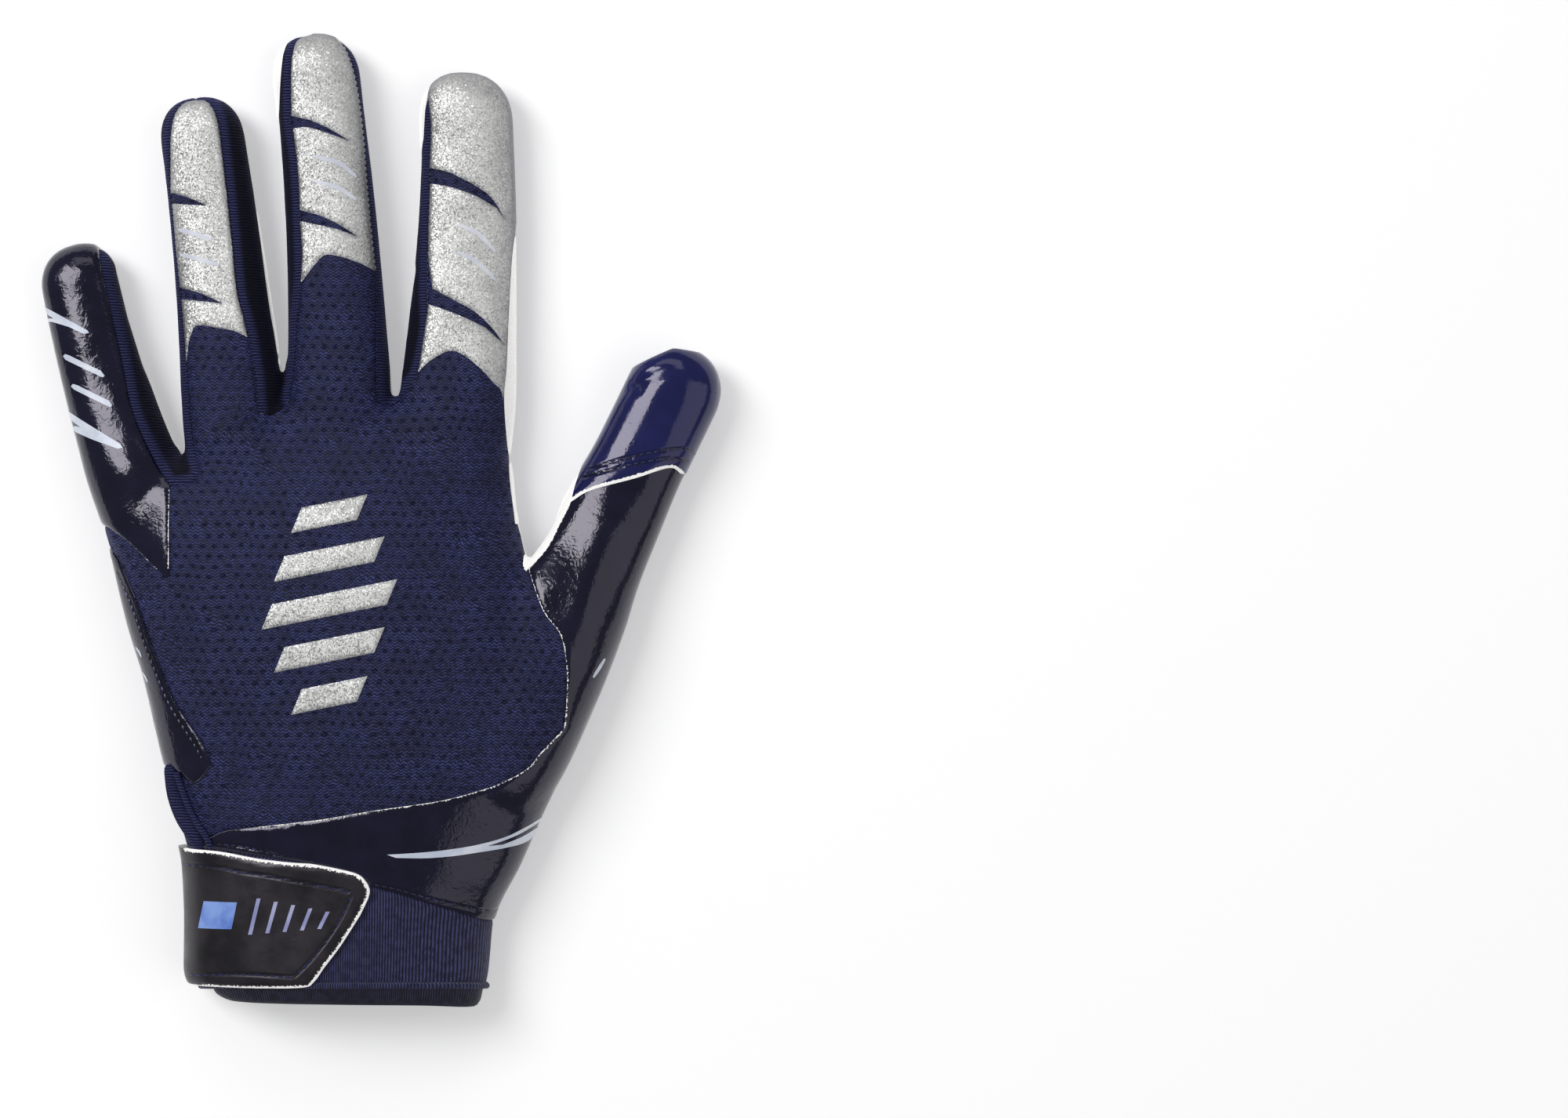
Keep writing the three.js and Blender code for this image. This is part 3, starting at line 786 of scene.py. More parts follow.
# Outlines of the panels. A run is a row of pixels that two outlines share.
WRIST_RUN = ((674, 726), (693, 779), (716, 812), (724, 863), (721, 925), (715, 935), (691, 960),
             (673, 981), (640, 999), (615, 1008), (562, 1022), (480, 1034), (408, 1046),
             (330, 1055), (287, 1061), (268, 1069))
back_edge = curved((654, 640), (654, 664), *WRIST_RUN, (240, 1079))
wrist_edge = stretch(back_edge, 2, 15.17)
thumb_wrap_edge = np.vstack([curved((671, 719), *WRIST_RUN, (246, 1079)), CUFF_TOP[CURVE_STEPS:]])
thumb_wrap_outline = np.vstack([
    thumb_wrap_edge,
    line((1000, 900), (1000, 400), (760, 400), (740, 500), (705, 590), (676, 660)),
])
thumb_cap_edge = curved((728, 640), (754, 625), (810, 610), (854, 597), (870, 605))
thumb_cap_outline = np.vstack([
    line((700, 652)), thumb_cap_edge, line((940, 590), (980, 420), (760, 400), (690, 560)),
])
heel_wrap_outline = np.vstack([
    line((90, 690)),
    curved((140, 700), (150, 717), (162, 742), (176, 776), (193, 827), (213, 877), (227, 905),
           (252, 942), (266, 967), (264, 981), (246, 998), (225, 985)),
    line((150, 960), (70, 800)),
])
LITTLE_RUN = ((127, 321), (132, 354), (154, 454), (169, 525), (199, 590), (216, 619))
little_wrap_outline = np.vstack([
    line((95, 285), (120, 300)),
    curved(*LITTLE_RUN),
    curved((215, 728), (213, 737), (195, 722), (165, 693), (138, 673)),
    line((60, 650), (10, 400), (40, 285)),
])
# Each strip runs down one finger to the web and up the next one.
RING_RUN = ((264, 129), (270, 136), (275, 146), (280, 167), (284, 201), (294, 290), (302, 370),
            (310, 402))
MIDDLE_RUN = ((441, 62), (450, 86), (456, 112), (460, 138), (465, 183), (467, 214), (472, 272))
up_ring = curved((244, 615), (253, 605), (252, 592), (246, 570), (241, 530), (238, 480), (229, 370),
                 (222, 280), (217, 246), (217, 180), (220, 155), (226, 140), (235, 131),
                 (248, 127.5))
ring_little_outline = np.vstack([
    curved((118, 310), *LITTLE_RUN), up_ring, line((248, 90), (150, 200)),
])
down_ring = curved((258, 127.5), *RING_RUN, (317, 431), (325, 480), (328, 515), (331, 527))
up_middle = curved((346, 529), (356, 523), (364, 514), (369, 500), (374, 460), (378, 410),
                   (384, 361), (385, 332), (382, 252), (378, 199), (371, 148), (371, 90), (375, 60),
                   (382, 49), (397, 44))
middle_ring_outline = np.vstack([
    line((300, 20), (248.5, 90), (248.5, 127)), down_ring, up_middle, line((397, 10)),
])
down_middle = curved((430, 50), *MIDDLE_RUN, (478, 332), (481, 380), (481, 470), (482, 505),
                     (488, 514), (499, 516))
up_index = curved((508, 510), (516, 500), (524, 488), (534, 472), (545, 420), (544, 370),
                  (545, 300), (547.5, 214), (549, 177), (549, 155), (546, 125), (546, 112))
index_middle_outline = np.vstack([
    line((430, 10)), down_middle, up_index, line((540, 60), (520, 10)),
])
# Their seams leave out the fingertips and, past the web, the start of the next finger.
index_middle_seams = [
    np.vstack([stretch(down_middle, 0.5, 14), stretch(up_index, 0, 1)]),
    stretch(up_index, 1.67, 10),
]
middle_ring_seams = [stretch(down_ring, 0.5, 11.5), stretch(up_middle, 2.67, 14)]
# Slivers where the panels stop short of the glove's edge and bare the suede.
ring_sliver = np.vstack([
    curved((300, 138), (306, 152), (316, 194), (325, 257), (333, 315), (343, 388), (351, 436),
           (356, 468)),
    line((364, 468), (358, 420), (350, 340), (342, 240), (322, 138)),
])
index_side_sliver = np.vstack([
    curved((660, 270), (653, 330), (649, 400), (646, 470), (643, 507), (647, 567), (651, 620),
           (657, 668)),
    line((690, 668), (690, 270)),
])
thumb_edge = curved((662, 740), (674, 725), (697, 700), (714, 668), (727, 642), (734, 618),
                    (744, 590), (758, 563), (774, 520), (797, 486))
thumb_sliver = np.vstack([thumb_edge, line((780, 450), (690, 600), (640, 700))])
middle_sliver = line((335, 40), (373, 43), (366, 56), (361, 70), (357, 112), (356, 140),
                     (353, 162), (335, 166))
index_sliver = line((525, 114), (547, 112), (545, 124), (542, 142), (540, 177), (536, 196),
                    (525, 196))
KNIT_DIP, KNIT_REACH = 0.35 * MM, 1.2 * MM
wraps = [thumb_wrap_outline, heel_wrap_outline, little_wrap_outline, thumb_cap_outline]
strips = [index_middle_outline, middle_ring_outline, ring_little_outline]
back = sheet_piece("back", [whole_hand], -WALL, 0, SEAM_LINE,
                   [cuff_block] + wraps + strips + [index_side_sliver])
finish(back, knit, "back_panel", [closed(one) for one in wraps + strips],
       dip=KNIT_DIP, reach=KNIT_REACH)

# Fourchettes: narrow ribbed knit strips down the sides of the fingers and over the webs. The
# ribs run across each finger, with painted highlights on their crests, and away from its seam
# each strip is painted near black as the shade of its side.
ribs, tree, shader = shader_material("ribs", Specular_IOR_Level=0.2, Sheen_Weight=0.25,
                                     Sheen_Roughness=0.5)
shader.inputs["Sheen Tint"].default_value = srgb("5A5FA8")
spot = millimetres(tree)
axes = node(tree, "ShaderNodeSeparateXYZ", {0: spot}).outputs
wobble = noise(spot, 0.5, 2.0)
count = add(divide(axes[1], 0.68), wobble)
rib = multiply_add(math_node("SINE", multiply(count, 2 * math.pi)), 0.5, 0.5)
seam = kept(tree, "seam")
# Painted highlight: the ribs' crests are painted lighter than their troughs.
tone = mix_node(rib, srgb("070712"), srgb("3A3D6C"))
# Painted shade: past 1.3 to 2.7 mm from its seam a strip is painted near black, where its side
# falls away into shade.
side_shade = range_node(seam, 1.3, 2.7)
feed(shader, Base_Color=mix_node(side_shade, tone, srgb("08080F")))
feed(shader, Roughness=range_node(rib, 0.0, 1.0, 0.95, 0.7))
dent(shader, rib, 0.9, 0.25 * MM)
for name, outline, rest, seams in (
    ("index_middle", index_middle_outline, [index_sliver], index_middle_seams),
    ("middle_ring", middle_ring_outline, [middle_sliver, ring_sliver], middle_ring_seams),
    ("ring_little", ring_little_outline, [little_wrap_outline], [ring_little_outline[1:]]),
):
    strip = sheet_piece("strip_" + name, [outline], -WALL, 0, SEAM_LINE, rest)
    finish(strip, ribs, "fourchette_" + name, [closed(outline)], dip=KNIT_DIP,
           reach=KNIT_REACH, seams=seams)

# Bared suede: where the panels stop short of the edge, the palm's sheet turns up the side of
# the finger with its white suede face outwards, which carries the grip's painted glow.
for name, outline in (("ring", ring_sliver), ("thumb", thumb_sliver), ("middle", middle_sliver),
                      ("index_tip", index_sliver), ("index_side", index_side_sliver)):
    suede = sheet_piece("suede_" + name, [outline], -WALL, -0.05 * MM, SEAM_HEIGHT - 0.15 * MM)
    finish(suede, grip, "palm_panel")
    bare = np.zeros(len(suede.data.vertices), np.float32)
    suede.data.attributes["rim"].data.foreach_set("value", bare)

# Finger films: a silver glitter film on the knit of three finger backs, cut out in curved
# notches, with a raised soft edge. Its edge and its tilted sides are painted darker as painted
# shade.
glitter, tree, shader = shader_material("glitter", Metallic=0.75)
spot = millimetres(tree)
grains = node(tree, "ShaderNodeTexVoronoi", {"Vector": spot, "Scale": 3.6}, feature="F1")
shade = node(tree, "ShaderNodeSeparateColor", {0: grains.outputs["Color"]}).outputs
cloud = group_node(tree, grain_group, {"Scale": 2.0})["Cloud"]
bright = mix_node(shade[0], srgb("BDBDBC"), srgb("FFFFFD"))
dull = mix_node(shade[0], srgb("B0B0B0"), srgb("F0F0EE"))
tone = mix_node(range_node(cloud, 0.36, 0.62), dull, bright)
edge = kept(tree, "rim")
# Painted shade: within about a millimetre of its edge the film is painted darker grey.
edge_shade = range_node(edge, 0.05, 1.2, 0.45, 0.0)
tone = mix_node(edge_shade, tone, srgb("A5A5AA"))
# Painted shade: the film is painted darker where its normal tilts away from straight up.
straight = node(tree, "ShaderNodeNewGeometry").outputs["Normal"]
upright = node(tree, "ShaderNodeSeparateXYZ", {0: straight}).outputs[2]
tilt_shade = range_node(upright, 0.35, 0.97, kind="LINEAR")
feed(shader, Base_Color=mix_node(tilt_shade, srgb("8C8C90"), tone))
feed(shader, Roughness=range_node(shade[1], 0.0, 1.0, 0.35, 0.6))
tilt = node(tree, "ShaderNodeVectorMath", {0: grains.outputs["Color"], 1: (0.5, 0.5, 0.5)},
            operation="SUBTRACT").outputs[0]
tilt = node(tree, "ShaderNodeVectorMath", {0: tilt, "Scale": 0.62}, operation="SCALE").outputs[0]
facet = node(tree, "ShaderNodeVectorMath", {0: straight, 1: tilt}, operation="ADD").outputs[0]
facet = node(tree, "ShaderNodeVectorMath", {0: facet}, operation="NORMALIZE").outputs[0]
feed(shader, Normal=facet)

# Each film's outline comes down one side of the finger, in and out along its notches.
index_film = np.vstack([
    line((560, 60)),
    curved((547, 108), (546, 125), (549, 155), (549, 177), (547.5, 214)),
    curved((574, 220), (605, 236), (627, 252), (645, 279)),
    curved((634, 265), (605, 249), (576, 239), (548, 234)),
    curved((546, 290), (546, 330), (551, 368)),
    curved((576, 381), (605, 397), (628, 418), (643, 438)),
    curved((620, 418), (595, 406), (570, 396), (546, 388)),
    curved((540, 430), (533, 474)),
    curved((548, 460), (571, 448), (588, 451), (611, 468), (631, 489), (641, 501), (647, 540),
           (652, 575), (657, 600)),
    line((720, 600), (720, 60)),
])
middle_film = np.vstack([
    line((398, 15)), curved((397, 44), (382, 49), (375, 60), (371, 90), (371, 148)),
    curved((395, 153), (418, 163), (447, 180)), curved((407, 166), (390, 162), (373, 164)),
    curved((378, 200), (381, 240), (382, 268)), curved((407, 274.5), (432, 286), (457, 302)),
    curved((430, 292), (402, 286), (382, 282)), curved((385, 320), (383, 361.5)),
    curved((400, 339), (413, 326), (429, 326), (458, 335), (480, 346)),
    curved((478, 330), *reversed(MIDDLE_RUN), (430, 50)),
    line((430, 15)),
])
ring_film = np.vstack([
    curved((248, 127.5), (235, 131), (226, 140), (220, 155), (217, 180), (217, 200), (217, 246)),
    curved((240, 252), (264, 262)), curved((240, 261), (219, 260)),
    curved((224, 320), (229, 367)),
    curved((256, 374), (284.5, 387)),
    curved((256, 384), (231, 382)),
    curved((235, 430), (237, 463)),
    curved((240, 436), (247, 418), (257, 415), (276, 418), (299, 422), (316, 430)),
    curved(*reversed(RING_RUN), (257, 127.5)),
])
FILM_SINK, FILM_RISE = -0.2 * MM, 0.3 * MM
FILM_DIP, FILM_REACH = 0.25 * MM, 0.7 * MM
for name, outline in (("index", index_film), ("middle", middle_film), ("ring", ring_film)):
    film = sheet_piece(name + "_glitter", [outline], FILM_SINK, FILM_RISE, SEAM_LINE,
                       [index_side_sliver])
    finish(film, glitter, name + "_film", [closed(outline)], dip=FILM_DIP,
           reach=FILM_REACH)

# Coated wraps: glossy dark sheets round the thumb's root and the wrist, over the heel of the
# hand and over the little finger. White suede shows at their cut edges.
gloss = coated_material("gloss", "0E0F24", "13142C", 0.09, edge=0.14, fray=0.35, ripple=0.075)
WRAP_RISE, WRAP_DIP = 0.45 * MM, 0.3 * MM
thumb = sheet_piece("thumb_and_wrist", [thumb_wrap_outline], -WALL, WRAP_RISE, SEAM_LINE,
                    [cuff_block, thumb_cap_outline, thumb_sliver])
WRIST_SEAMS = [
    curved((477, 1128), (506, 1134), (541, 1144), (576, 1153), (611, 1160), (636, 1160)),
    curved((276, 1076), (306, 1079), (330, 1084), (358, 1093)),
]
finish(thumb, gloss, "thumb_wrap", [thumb_wrap_edge], dip=WRAP_DIP,
       cuts=[wrist_edge, thumb_edge], seams=WRIST_SEAMS)
HEEL_SEAM = [
    curved((151, 728), (171, 775), (188, 825), (208, 876), (222, 906), (246, 944), (259, 967)),
]
heel = sheet_piece("heel", [heel_wrap_outline], -WALL, WRAP_RISE, SEAM_LINE)
finish(heel, gloss, "heel_wrap", [heel_wrap_outline], dip=WRAP_DIP, cuts=(),
       seams=HEEL_SEAM)
little = sheet_piece("little_finger_back", [little_wrap_outline], -WALL, WRAP_RISE, SEAM_LINE)
finish(little, gloss, "little_finger_wrap", [little_wrap_outline], dip=WRAP_DIP,
       cuts=[line((216.5, 624), (215.2, 724)), curved((200, 727), (165, 694), (140, 675))])

# Thumb cap: the palm's grippy sheet in a coated blue, brought over the end of the thumb. Two
# rows of stitches fix its lower edge over the wrap, and that edge shows its white suede.
CAP_RISE = 0.7 * MM
CAP_SEAMS = [
    curved((752, 598), (792, 586), (843, 575), (876, 573), (884, 578)),
    curved((745, 609), (775, 600), (809, 592), (850, 585), (876, 588)),
]
cap_skin = coated_material("cap", "171B4E", "1B2058", 0.1, edge=0.75, fray=0.3, grain=2.4,
                           ripple=0.04)
cap = sheet_piece("thumb_end", [thumb_cap_outline], -WALL, CAP_RISE, SEAM_LINE, [thumb_sliver])
finish(cap, cap_skin, "thumb_cap", [thumb_cap_edge], dip=WRAP_DIP, seams=CAP_SEAMS)

# Cuff: elastic knit tube with fine upright ribs, sewn to the palm and the wrap round the wrist.
# Its hem is a smoother tape bound round the mouth.
WRIST_AXIS = (-8.0, 4.0)


def elastic_material(name, low, high, count, depth):
    """Knit with a number of fine upright ribs round the wrist, their crests painted lighter as a
    painted highlight.
    """
    material, tree, shader = shader_material(name, Roughness=0.85, Specular_IOR_Level=0.2,
                                             Sheen_Weight=0.2, Sheen_Roughness=0.5)
    spot = millimetres(tree)
    axes = node(tree, "ShaderNodeSeparateXYZ", {0: spot}).outputs
    around = math_node("ARCTAN2", subtract(axes[2], WRIST_AXIS[1]),
                       add(axes[0], -WRIST_AXIS[0]))
    fuzz = noise(spot, 0.6, 3.0)
    turn = multiply_add(around, count, multiply(fuzz, 2.5))
    rib = multiply_add(math_node("SINE", turn), 0.5, 0.5)
    rib = multiply(rib, range_node(fuzz, 0.3, 0.65, 0.45, 1.0))
    # Painted highlight: the ribs' crests are painted lighter than their troughs.
    feed(shader, Base_Color=mix_node(rib, srgb(low), srgb(high)))
    dent(shader, rib, depth, 0.2 * MM)
    return material


elastic = elastic_material("elastic", "0A0B1E", "484A76", 230.0, 0.8)
hem_tape = elastic_material("hem tape", "090912", "34344E", 330.0, 0.6)


def mouth_wedge(back_by):
    """Everything below a plane across the cuff. Over the seam the plane leans back."""
    y, far = MOUTH[1] + back_by, MOUTH[1] - TALL
    leaned = y + MOUTH_SLOPE * (TALL - SEAM_HEIGHT)
    side = [(far, -MM * 5), (y, -MM * 5), (y, SEAM_HEIGHT), (leaned, TALL), (far, TALL)]
    points = [(x, *p) for x in (-0.2, 0.2) for p in side]
    faces = [(4, 3, 2, 1, 0), (5, 6, 7, 8, 9)]
    faces += [(i, (i + 1) % 5, (i + 1) % 5 + 5, i + 5) for i in range(5)]
    return new_piece("wedge", points, faces)


HEM = 4.6 * MM
cuff = sheet_piece("cuff_knit", [cuff_block], -WALL, 0, -MM)
cut(cuff, mouth_wedge(HEM + SEAM_GAP), "DIFFERENCE")
finish(cuff, elastic, "cuff", [CUFF_TOP], dip=0.5 * MM, reach=1.5 * MM)
hem_outline = np.vstack([
    line((200, 1200), (262, 1240)),
    curved((270, 1258), (275, 1268), (291, 1276), (313, 1279), (365, 1281), (436, 1282),
           (541, 1283), (600, 1284), (609, 1282), (614, 1276), (619, 1250)),
    line((700, 1200)),
])
hem = sheet_piece("hem", [hem_outline], -WALL, 0.6 * MM, -MM)
cut(hem, mouth_wedge(HEM), "INTERSECT")
finish(hem, hem_tape, "cuff_hem", [hem_outline], dip=0.5 * MM, reach=1.2 * MM)

# Vent binding: the edge of the vent at the little finger's side of the wrist, bound in ribbed
# tape and rolled over. A thinner roll lies beside it.
VENT_RADIUS = 2.3 * MM
ROLL_RADIUS, ROLL_RISE = 0.75 * MM, 0.35 * MM


def tube(name, path, radius, sides=12, flat=1.0):
    """A round cord along points in space, closed at both ends."""
    path = np.asarray(path)
    way = np.gradient(path, axis=0)
    way /= np.linalg.norm(way, axis=1, keepdims=True)
    aside = np.cross(way, (0, 0, 1))
    aside /= np.linalg.norm(aside, axis=1, keepdims=True)
    up = np.cross(aside, way)
    angle = np.arange(sides) * 2 * math.pi / sides
    radius = np.broadcast_to(radius, len(path))[:, None, None]
    rings = (path[:, None] + aside[:, None] * (np.cos(angle)[:, None] * radius)
             + up[:, None] * (np.sin(angle)[:, None] * radius * flat))
    return new_piece(name, *loft(rings))


def on_form(flat, height):
    """A point over the form at a height, on its own upright."""
    place, out, _, _ = form_tree.ray_cast(Vector((*flat, TALL)), Vector((0, 0, -1)))
    if place is None:
        place, out, _, _ = form_tree.find_nearest(Vector((*flat, SEAM_HEIGHT)))
    return np.array(place + out * height)


vent_line = curved((217, 974), (222, 992), (227, 1015), (236, 1040), (248, 1062), (258, 1082))
vent_path = [on_form(flat, 0.3 * MM) for flat in vent_line]
ends = np.sin(np.linspace(0, math.pi, len(vent_path))) ** 0.25
vent = tube("vent_edge", vent_path, VENT_RADIUS * ends.clip(0.3), sides=16, flat=0.8)
finish(vent, ribs, "vent_binding", seams=[vent_line])
roll_line = curved((228, 985), (234, 1003), (243, 1027), (253, 1048), (265, 1066), (271, 1080))
vent_roll = tube("vent_roll", [on_form(flat, 0.7 * MM) for flat in roll_line], ROLL_RADIUS)
finish(vent_roll, ribs, "vent_binding", seams=[roll_line])

# The cuff's hem has a thin roll along its upper edge, over the back of the wrist.
middle = Vector((MOUTH[0], MOUTH[1] + HEM + 0.4 * MM, SEAM_HEIGHT))
roll_path = []
for turn in np.radians(np.linspace(196, -4, 48)):
    across, up = math.cos(turn), math.sin(turn)
    towards = Vector((across, MOUTH_SLOPE * max(up, 0), up)).normalized()
    roll_path.append(np.array(form_tree.ray_cast(middle, towards)[0] + towards * ROLL_RISE))
hem_roll = tube("hem_roll", roll_path, ROLL_RADIUS)
finish(hem_roll, elastic, "cuff_hem")

# Strap: a stiff coated tab that closes the cuff. Its white backing frays out at the cut edge,
# and a line of stitches follows that edge.
STRAP_LOW_EDGE = 4.5 * MM
STRAP_BASE, STRAP_TOP = 0.3 * MM, 2.1 * MM
strap_edge = np.vstack([
    curved((240, 1081), (281, 1086), (330, 1095), (372, 1100), (400, 1102), (436, 1109),
           (457, 1115), (467, 1124), (472, 1135), (470, 1146)),
    curved((460, 1167), (435, 1206), (414, 1234), (401, 1252), (387, 1259), (330, 1260),
           (271, 1258), (232, 1256)),
])
strap_outline = np.vstack([line((150, 1072)), strap_edge, line((150, 1252))])
strap_cover = coated_material("strap", "151317", "1E1B1F", 0.3, edge=0.6, fray=0.5, grain=1.2,
                              ripple=0.02)
strap = sheet_piece("strap_tab", [strap_outline], STRAP_BASE, STRAP_TOP, STRAP_LOW_EDGE)
STRAP_SEAMS = [
    curved((241, 1098), (281, 1105), (313, 1112), (341, 1116), (372, 1122), (400, 1127),
           (432, 1133), (447, 1137)),
    curved((449, 1142), (436, 1170), (418, 1198), (400, 1221), (380, 1242)),
    curved((374, 1245), (330, 1242), (288, 1241), (236, 1240)),
]
finish(strap, strap_cover, "strap", [strap_edge], dip=0.5 * MM,
       seams=STRAP_SEAMS)

# Printed marks: pale strokes on the films and wraps, and a plain set of slanted bars in the
# middle of the back, in the same glitter film as the fingers. Every print is a thin film.


def stroke(*pixels, wide=3.6, blunt=0.35):
    """The outline of a tapered stroke, a given number of pixels wide at most."""
    path = curved(*pixels, steps=4)
    way = np.gradient(path, axis=0)
    way /= np.linalg.norm(way, axis=1, keepdims=True)
    aside = np.stack([-way[:, 1], way[:, 0]], axis=1)
    swell = np.sin(np.linspace(0.12, math.pi - 0.12, len(path))) ** blunt
    half = aside * (swell * wide / 2 * PIXEL)[:, None]
    return np.vstack([path + half, (path - half)[::-1]])


def plain_material(name, low, high, roughness):
    material, tree, shader = shader_material(name, Roughness=roughness)
    skin_of = group_node(tree, grain_group, {"Scale": 2.0})
    share = range_node(skin_of["Cloud"], 0.35, 0.65)
    feed(shader, Base_Color=mix_node(share, srgb(low), srgb(high)))
    dent(shader, skin_of["Height"], 1.0, MM)
    return material


def print_piece(name, outlines, base, material, node_name, thick=0.06 * MM):
    part = sheet_piece(name, outlines, base - 0.1 * MM, base + thick, SEAM_LINE)
    return finish(part, material, node_name)


white_print = plain_material("white_print", "CDD6EA", "E6ECF7", 0.3)
pale_print = plain_material("pale_print", "D6DAE8", "E9ECF5", 0.4)
finger_strokes = {
    "index": [((586, 287), (610, 298), (632, 321)), ((583, 321), (607, 333), (632, 357))],
    "middle": [((399, 199), (432, 208), (455, 226)), ((401, 231), (432, 240), (455, 255))],
    "ring": [((227, 293), (248, 298), (270, 306)), ((230, 325), (252, 330), (279, 338))],
}
for finger, strokes in finger_strokes.items():
    print_piece(finger + "_strokes", [stroke(*one, wide=5.6) for one in strokes], FILM_RISE,
                pale_print, finger + "_film", thick=0.08 * MM)
little_marks = [
    line((53, 389), (62, 394), (82, 405), (112, 421.5), (114, 425), (107, 426), (88, 417),
         (68, 411), (57, 410), (58.5, 407), (69, 406.5), (60, 400), (54, 396)),
    line((83.5, 451.8), (89, 453.5), (129, 473), (134, 479.5), (131, 481.5), (84, 459),
         (81, 454.5)),
    line((93.5, 489.8), (100, 491.8), (139, 511), (143.5, 517.5), (140.5, 519.5), (95, 497),
         (91, 493)),
    line((87, 523), (95, 529.5), (124, 548), (154, 566.5), (157, 571), (151, 572.5), (119, 561),
         (98, 551.5), (93, 546), (97, 543.5), (103, 545), (92, 535)),
]
print_piece("little_marks", little_marks, WRAP_RISE, white_print, "little_finger_wrap")
print_piece("heel_marks", [stroke((174, 825), (178, 831), (181, 838), wide=3),
                           stroke((183, 857), (186, 863), (189, 870), wide=3)],
            WRAP_RISE, white_print, "heel_wrap")
wrist_mark = np.vstack([
    curved((494, 1090), (541, 1087), (576, 1083), (611, 1077), (646, 1067), (674, 1053),
           (693, 1041)),
    curved((692, 1046), (664, 1063), (640, 1073), (622, 1079)),
    curved((642, 1077), (668, 1066), (693, 1050)),
    curved((691, 1056), (674, 1072), (646, 1081), (611, 1087), (576, 1092), (541, 1094.5),
           (505, 1094)),
])
print_piece("thumb_marks", [stroke((757, 864), (764, 853), (772, 840), wide=4), wrist_mark],
            WRAP_RISE, white_print, "thumb_wrap")

# The bars, in pixels: their middle one's place, their step and thickness, their rise to the
# right, the slant of their ends and their half lengths.
BAR_MIDDLE, BAR_STEP, BAR_THICK, BAR_RISE, BAR_SLANT = (420, 771), 58, 30, 0.2, 0.45
BAR_HALVES = (42, 64, 80, 64, 42)
bars = []
for step, half in enumerate(BAR_HALVES, -2):
    x, y = BAR_MIDDLE[0], BAR_MIDDLE[1] + step * BAR_STEP
    corners = []
    for side, level in ((-1, -1), (0, -1), (1, -1), (1, 1), (0, 1), (-1, 1)):
        across = side * half - level * BAR_SLANT * BAR_THICK / 2
        corners.append((x + across, y + level * BAR_THICK / 2 - across * BAR_RISE))
    bars.append(line(*corners))
back_bars = sheet_piece("back_bars", bars, FILM_SINK, FILM_RISE, SEAM_LINE)
finish(back_bars, glitter, "back_panel", [closed(bar) for bar in bars],
       dip=FILM_DIP, reach=FILM_REACH)

blue_print = plain_material("blue_print", "5E83DC", "8FAEF0", 0.35)
lilac_print = plain_material("lilac_print", "8F92C4", "B3B6DE", 0.4)
strap_block = line((262, 1148), (304, 1150), (297, 1184), (255, 1182))
print_piece("strap_block", [strap_block], STRAP_TOP, blue_print, "strap")
# The strap's ticks, in pixels: the first one's middle, their step, height and loss of height.
TICK_MIDDLE, TICK_STEP, TICK_TALL, TICK_LOSS = (326, 1168), (22, 1.2), 46, 6
strap_ticks = []
for i in range(5):
    x, y = TICK_MIDDLE[0] + TICK_STEP[0] * i, TICK_MIDDLE[1] + TICK_STEP[1] * i
    tall = TICK_TALL - TICK_LOSS * i
    strap_ticks.append(line((x + 3, y - tall / 2), (x + 8, y - tall / 2), (x - 3, y + tall / 2),
                            (x - 8, y + tall / 2)))
print_piece("strap_ticks", strap_ticks, STRAP_TOP, lilac_print, "strap")

# Seams: rows of short stitches in dark thread that fix the strap's cover, the cap and the
# wraps, and in a duller thread the strips. Each stitch is a bead sunk a little into the sheet.
thread_material = plain_material("thread", "13152E", "2A2E60", 0.35)
STITCH_SIDES = 6
BEAD = np.array([
    # along half the stitch, share of its radius
    (-1, 0.05), (-0.8, 0.62), (-0.35, 1), (0.35, 1), (0.8, 0.62), (1, 0.05),
])


def stitches(name, paths, height, node_name, pitch=1.75 * MM, long=1.3 * MM,
             radius=0.27 * MM, material=thread_material):
    """Stitches along lines over the form, as one piece."""
    share, swell = BEAD[:, 0, None, None], BEAD[:, 1, None, None]
    angle = np.arange(STITCH_SIDES)[:, None] * 2 * math.pi / STITCH_SIDES
    points, faces = [], []
    for path in paths:
        steps = np.linalg.norm(np.diff(path, axis=0), axis=1)
        far = np.concatenate([[0], np.cumsum(steps)])
        for middle in np.arange(pitch / 2, far[-1], pitch):
            ends = [on_form([np.interp(middle + way * long / 2, far, path[:, k]) for k in (0, 1)],
                            height) for way in (-1, 1)]
            centre, half = (ends[0] + ends[1]) / 2, (ends[1] - ends[0]) / 2
            way = half / np.linalg.norm(half)
            aside = np.cross(way, (0, 0, 1))
            aside /= np.linalg.norm(aside)
            up = np.cross(aside, way)
            bead, bead_faces = loft(centre + half * share + radius * swell * (
                aside * np.cos(angle) + up * np.sin(angle)))
            faces += [tuple(len(points) + i for i in face) for face in bead_faces]
            points += list(bead)
    return finish(new_piece(name, points, faces), material, node_name)


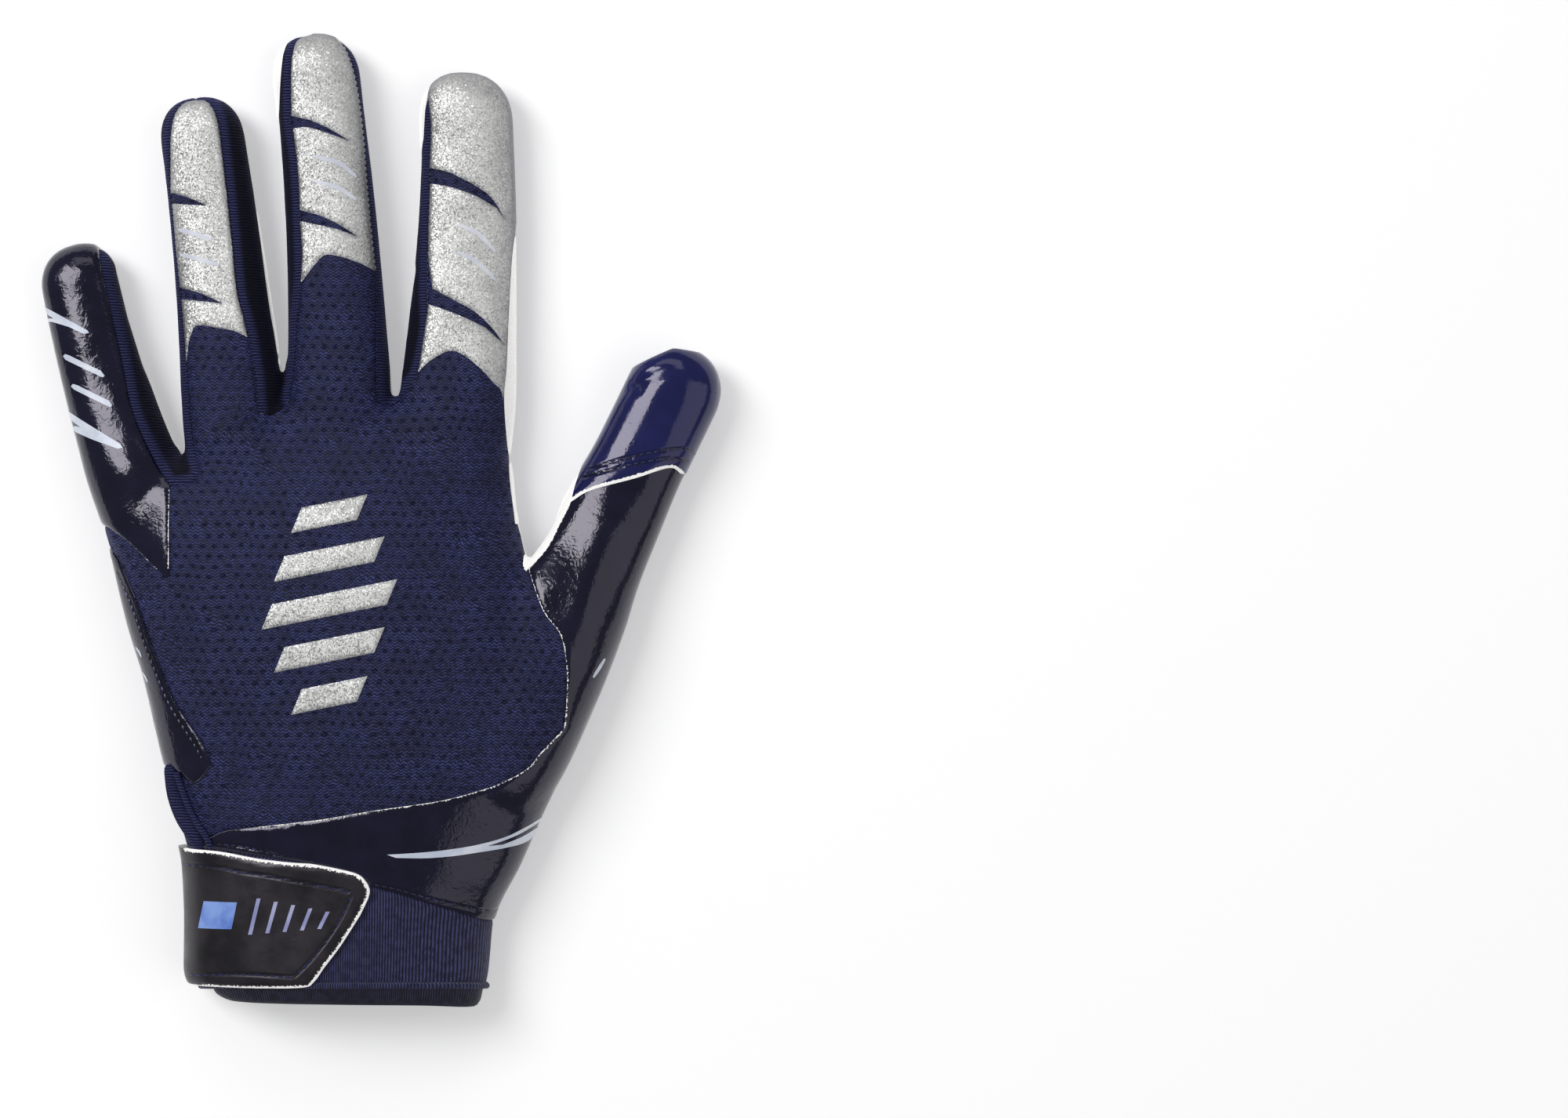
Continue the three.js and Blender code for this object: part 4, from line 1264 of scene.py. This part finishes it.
stitches("strap_stitches", STRAP_SEAMS, STRAP_TOP, "strap")
stitches("cap_stitches", CAP_SEAMS, CAP_RISE, "thumb_cap")
stitches("wrap_stitches", WRIST_SEAMS, WRAP_RISE, "thumb_wrap")
stitches("heel_stitches", HEEL_SEAM, WRAP_RISE, "heel_wrap")
dull_thread = plain_material("dull_thread", "0C0D1E", "20234A", 0.9)
for name, seam_lines in (
    ("index_middle", index_middle_seams),
    ("middle_ring", [middle_ring_seams[0], stretch(up_middle, 2.67, 12)]),
    ("ring_little", [stretch(up_ring, 3, 11.67)]),
):
    stitches("strip_stitches_" + name, seam_lines, -0.1 * MM, "fourchette_" + name,
             pitch=1.5 * MM, long=0.75 * MM, radius=0.26 * MM, material=dull_thread)

# Stage: a plain pale floor under soft studio light, and the camera straight above, where it
# sees the glove as the photograph does.
FLOOR_HALF = 3
SENSOR = 36
corners = [(x * FLOOR_HALF, y * FLOOR_HALF, 0) for x, y in ((-1, -1), (1, -1), (1, 1), (-1, 1))]
floor = new_piece("floor", corners, [(0, 1, 2, 3)])
floor_material, _, floor_shader = shader_material("pale floor", Roughness=0.9)
floor_shader.inputs["Base Color"].default_value = (0.86, 0.86, 0.865, 1)
floor_shader.inputs["Emission Color"].default_value = (1, 1, 1, 1)
floor_shader.inputs["Emission Strength"].default_value = 0.37
floor.data.materials.append(floor_material)


def area_light(name, place, size, power):
    lamp = bpy.data.lights.new(name, "AREA")
    lamp.shape = "RECTANGLE"
    lamp.size, lamp.size_y = size
    lamp.energy = power
    holder = bpy.data.objects.new(name, lamp)
    holder.location = place
    holder.rotation_euler = (-Vector(place)).to_track_quat("-Z", "Y").to_euler()
    bpy.context.scene.collection.objects.link(holder)


area_light("key", (-0.72, 0.5, 1.2), (0.55, 0.9), 12)
area_light("fill", (1.3, -0.3, 1.2), (1.7, 1.7), 6.5)
area_light("top", (-0.1, 1.6, 1.3), (1.6, 0.8), 4.5)
world = bpy.data.worlds.new("studio")
world.use_nodes = True
world.node_tree.nodes["Background"].inputs["Color"].default_value = (1, 1, 1, 1)
world.node_tree.nodes["Background"].inputs["Strength"].default_value = 0.2
bpy.context.scene.world = world
bpy.context.scene.view_settings.view_transform = "Standard"

lens = bpy.data.cameras.new("camera")
lens.sensor_width = SENSOR
lens.lens = SENSOR * CAMERA_DISTANCE / (FRAME_WIDTH * PIXEL)
lens.clip_start = 0.05
camera = bpy.data.objects.new("camera", lens)
camera.location = eye
bpy.context.scene.collection.objects.link(camera)
bpy.context.scene.camera = camera

discard(form)
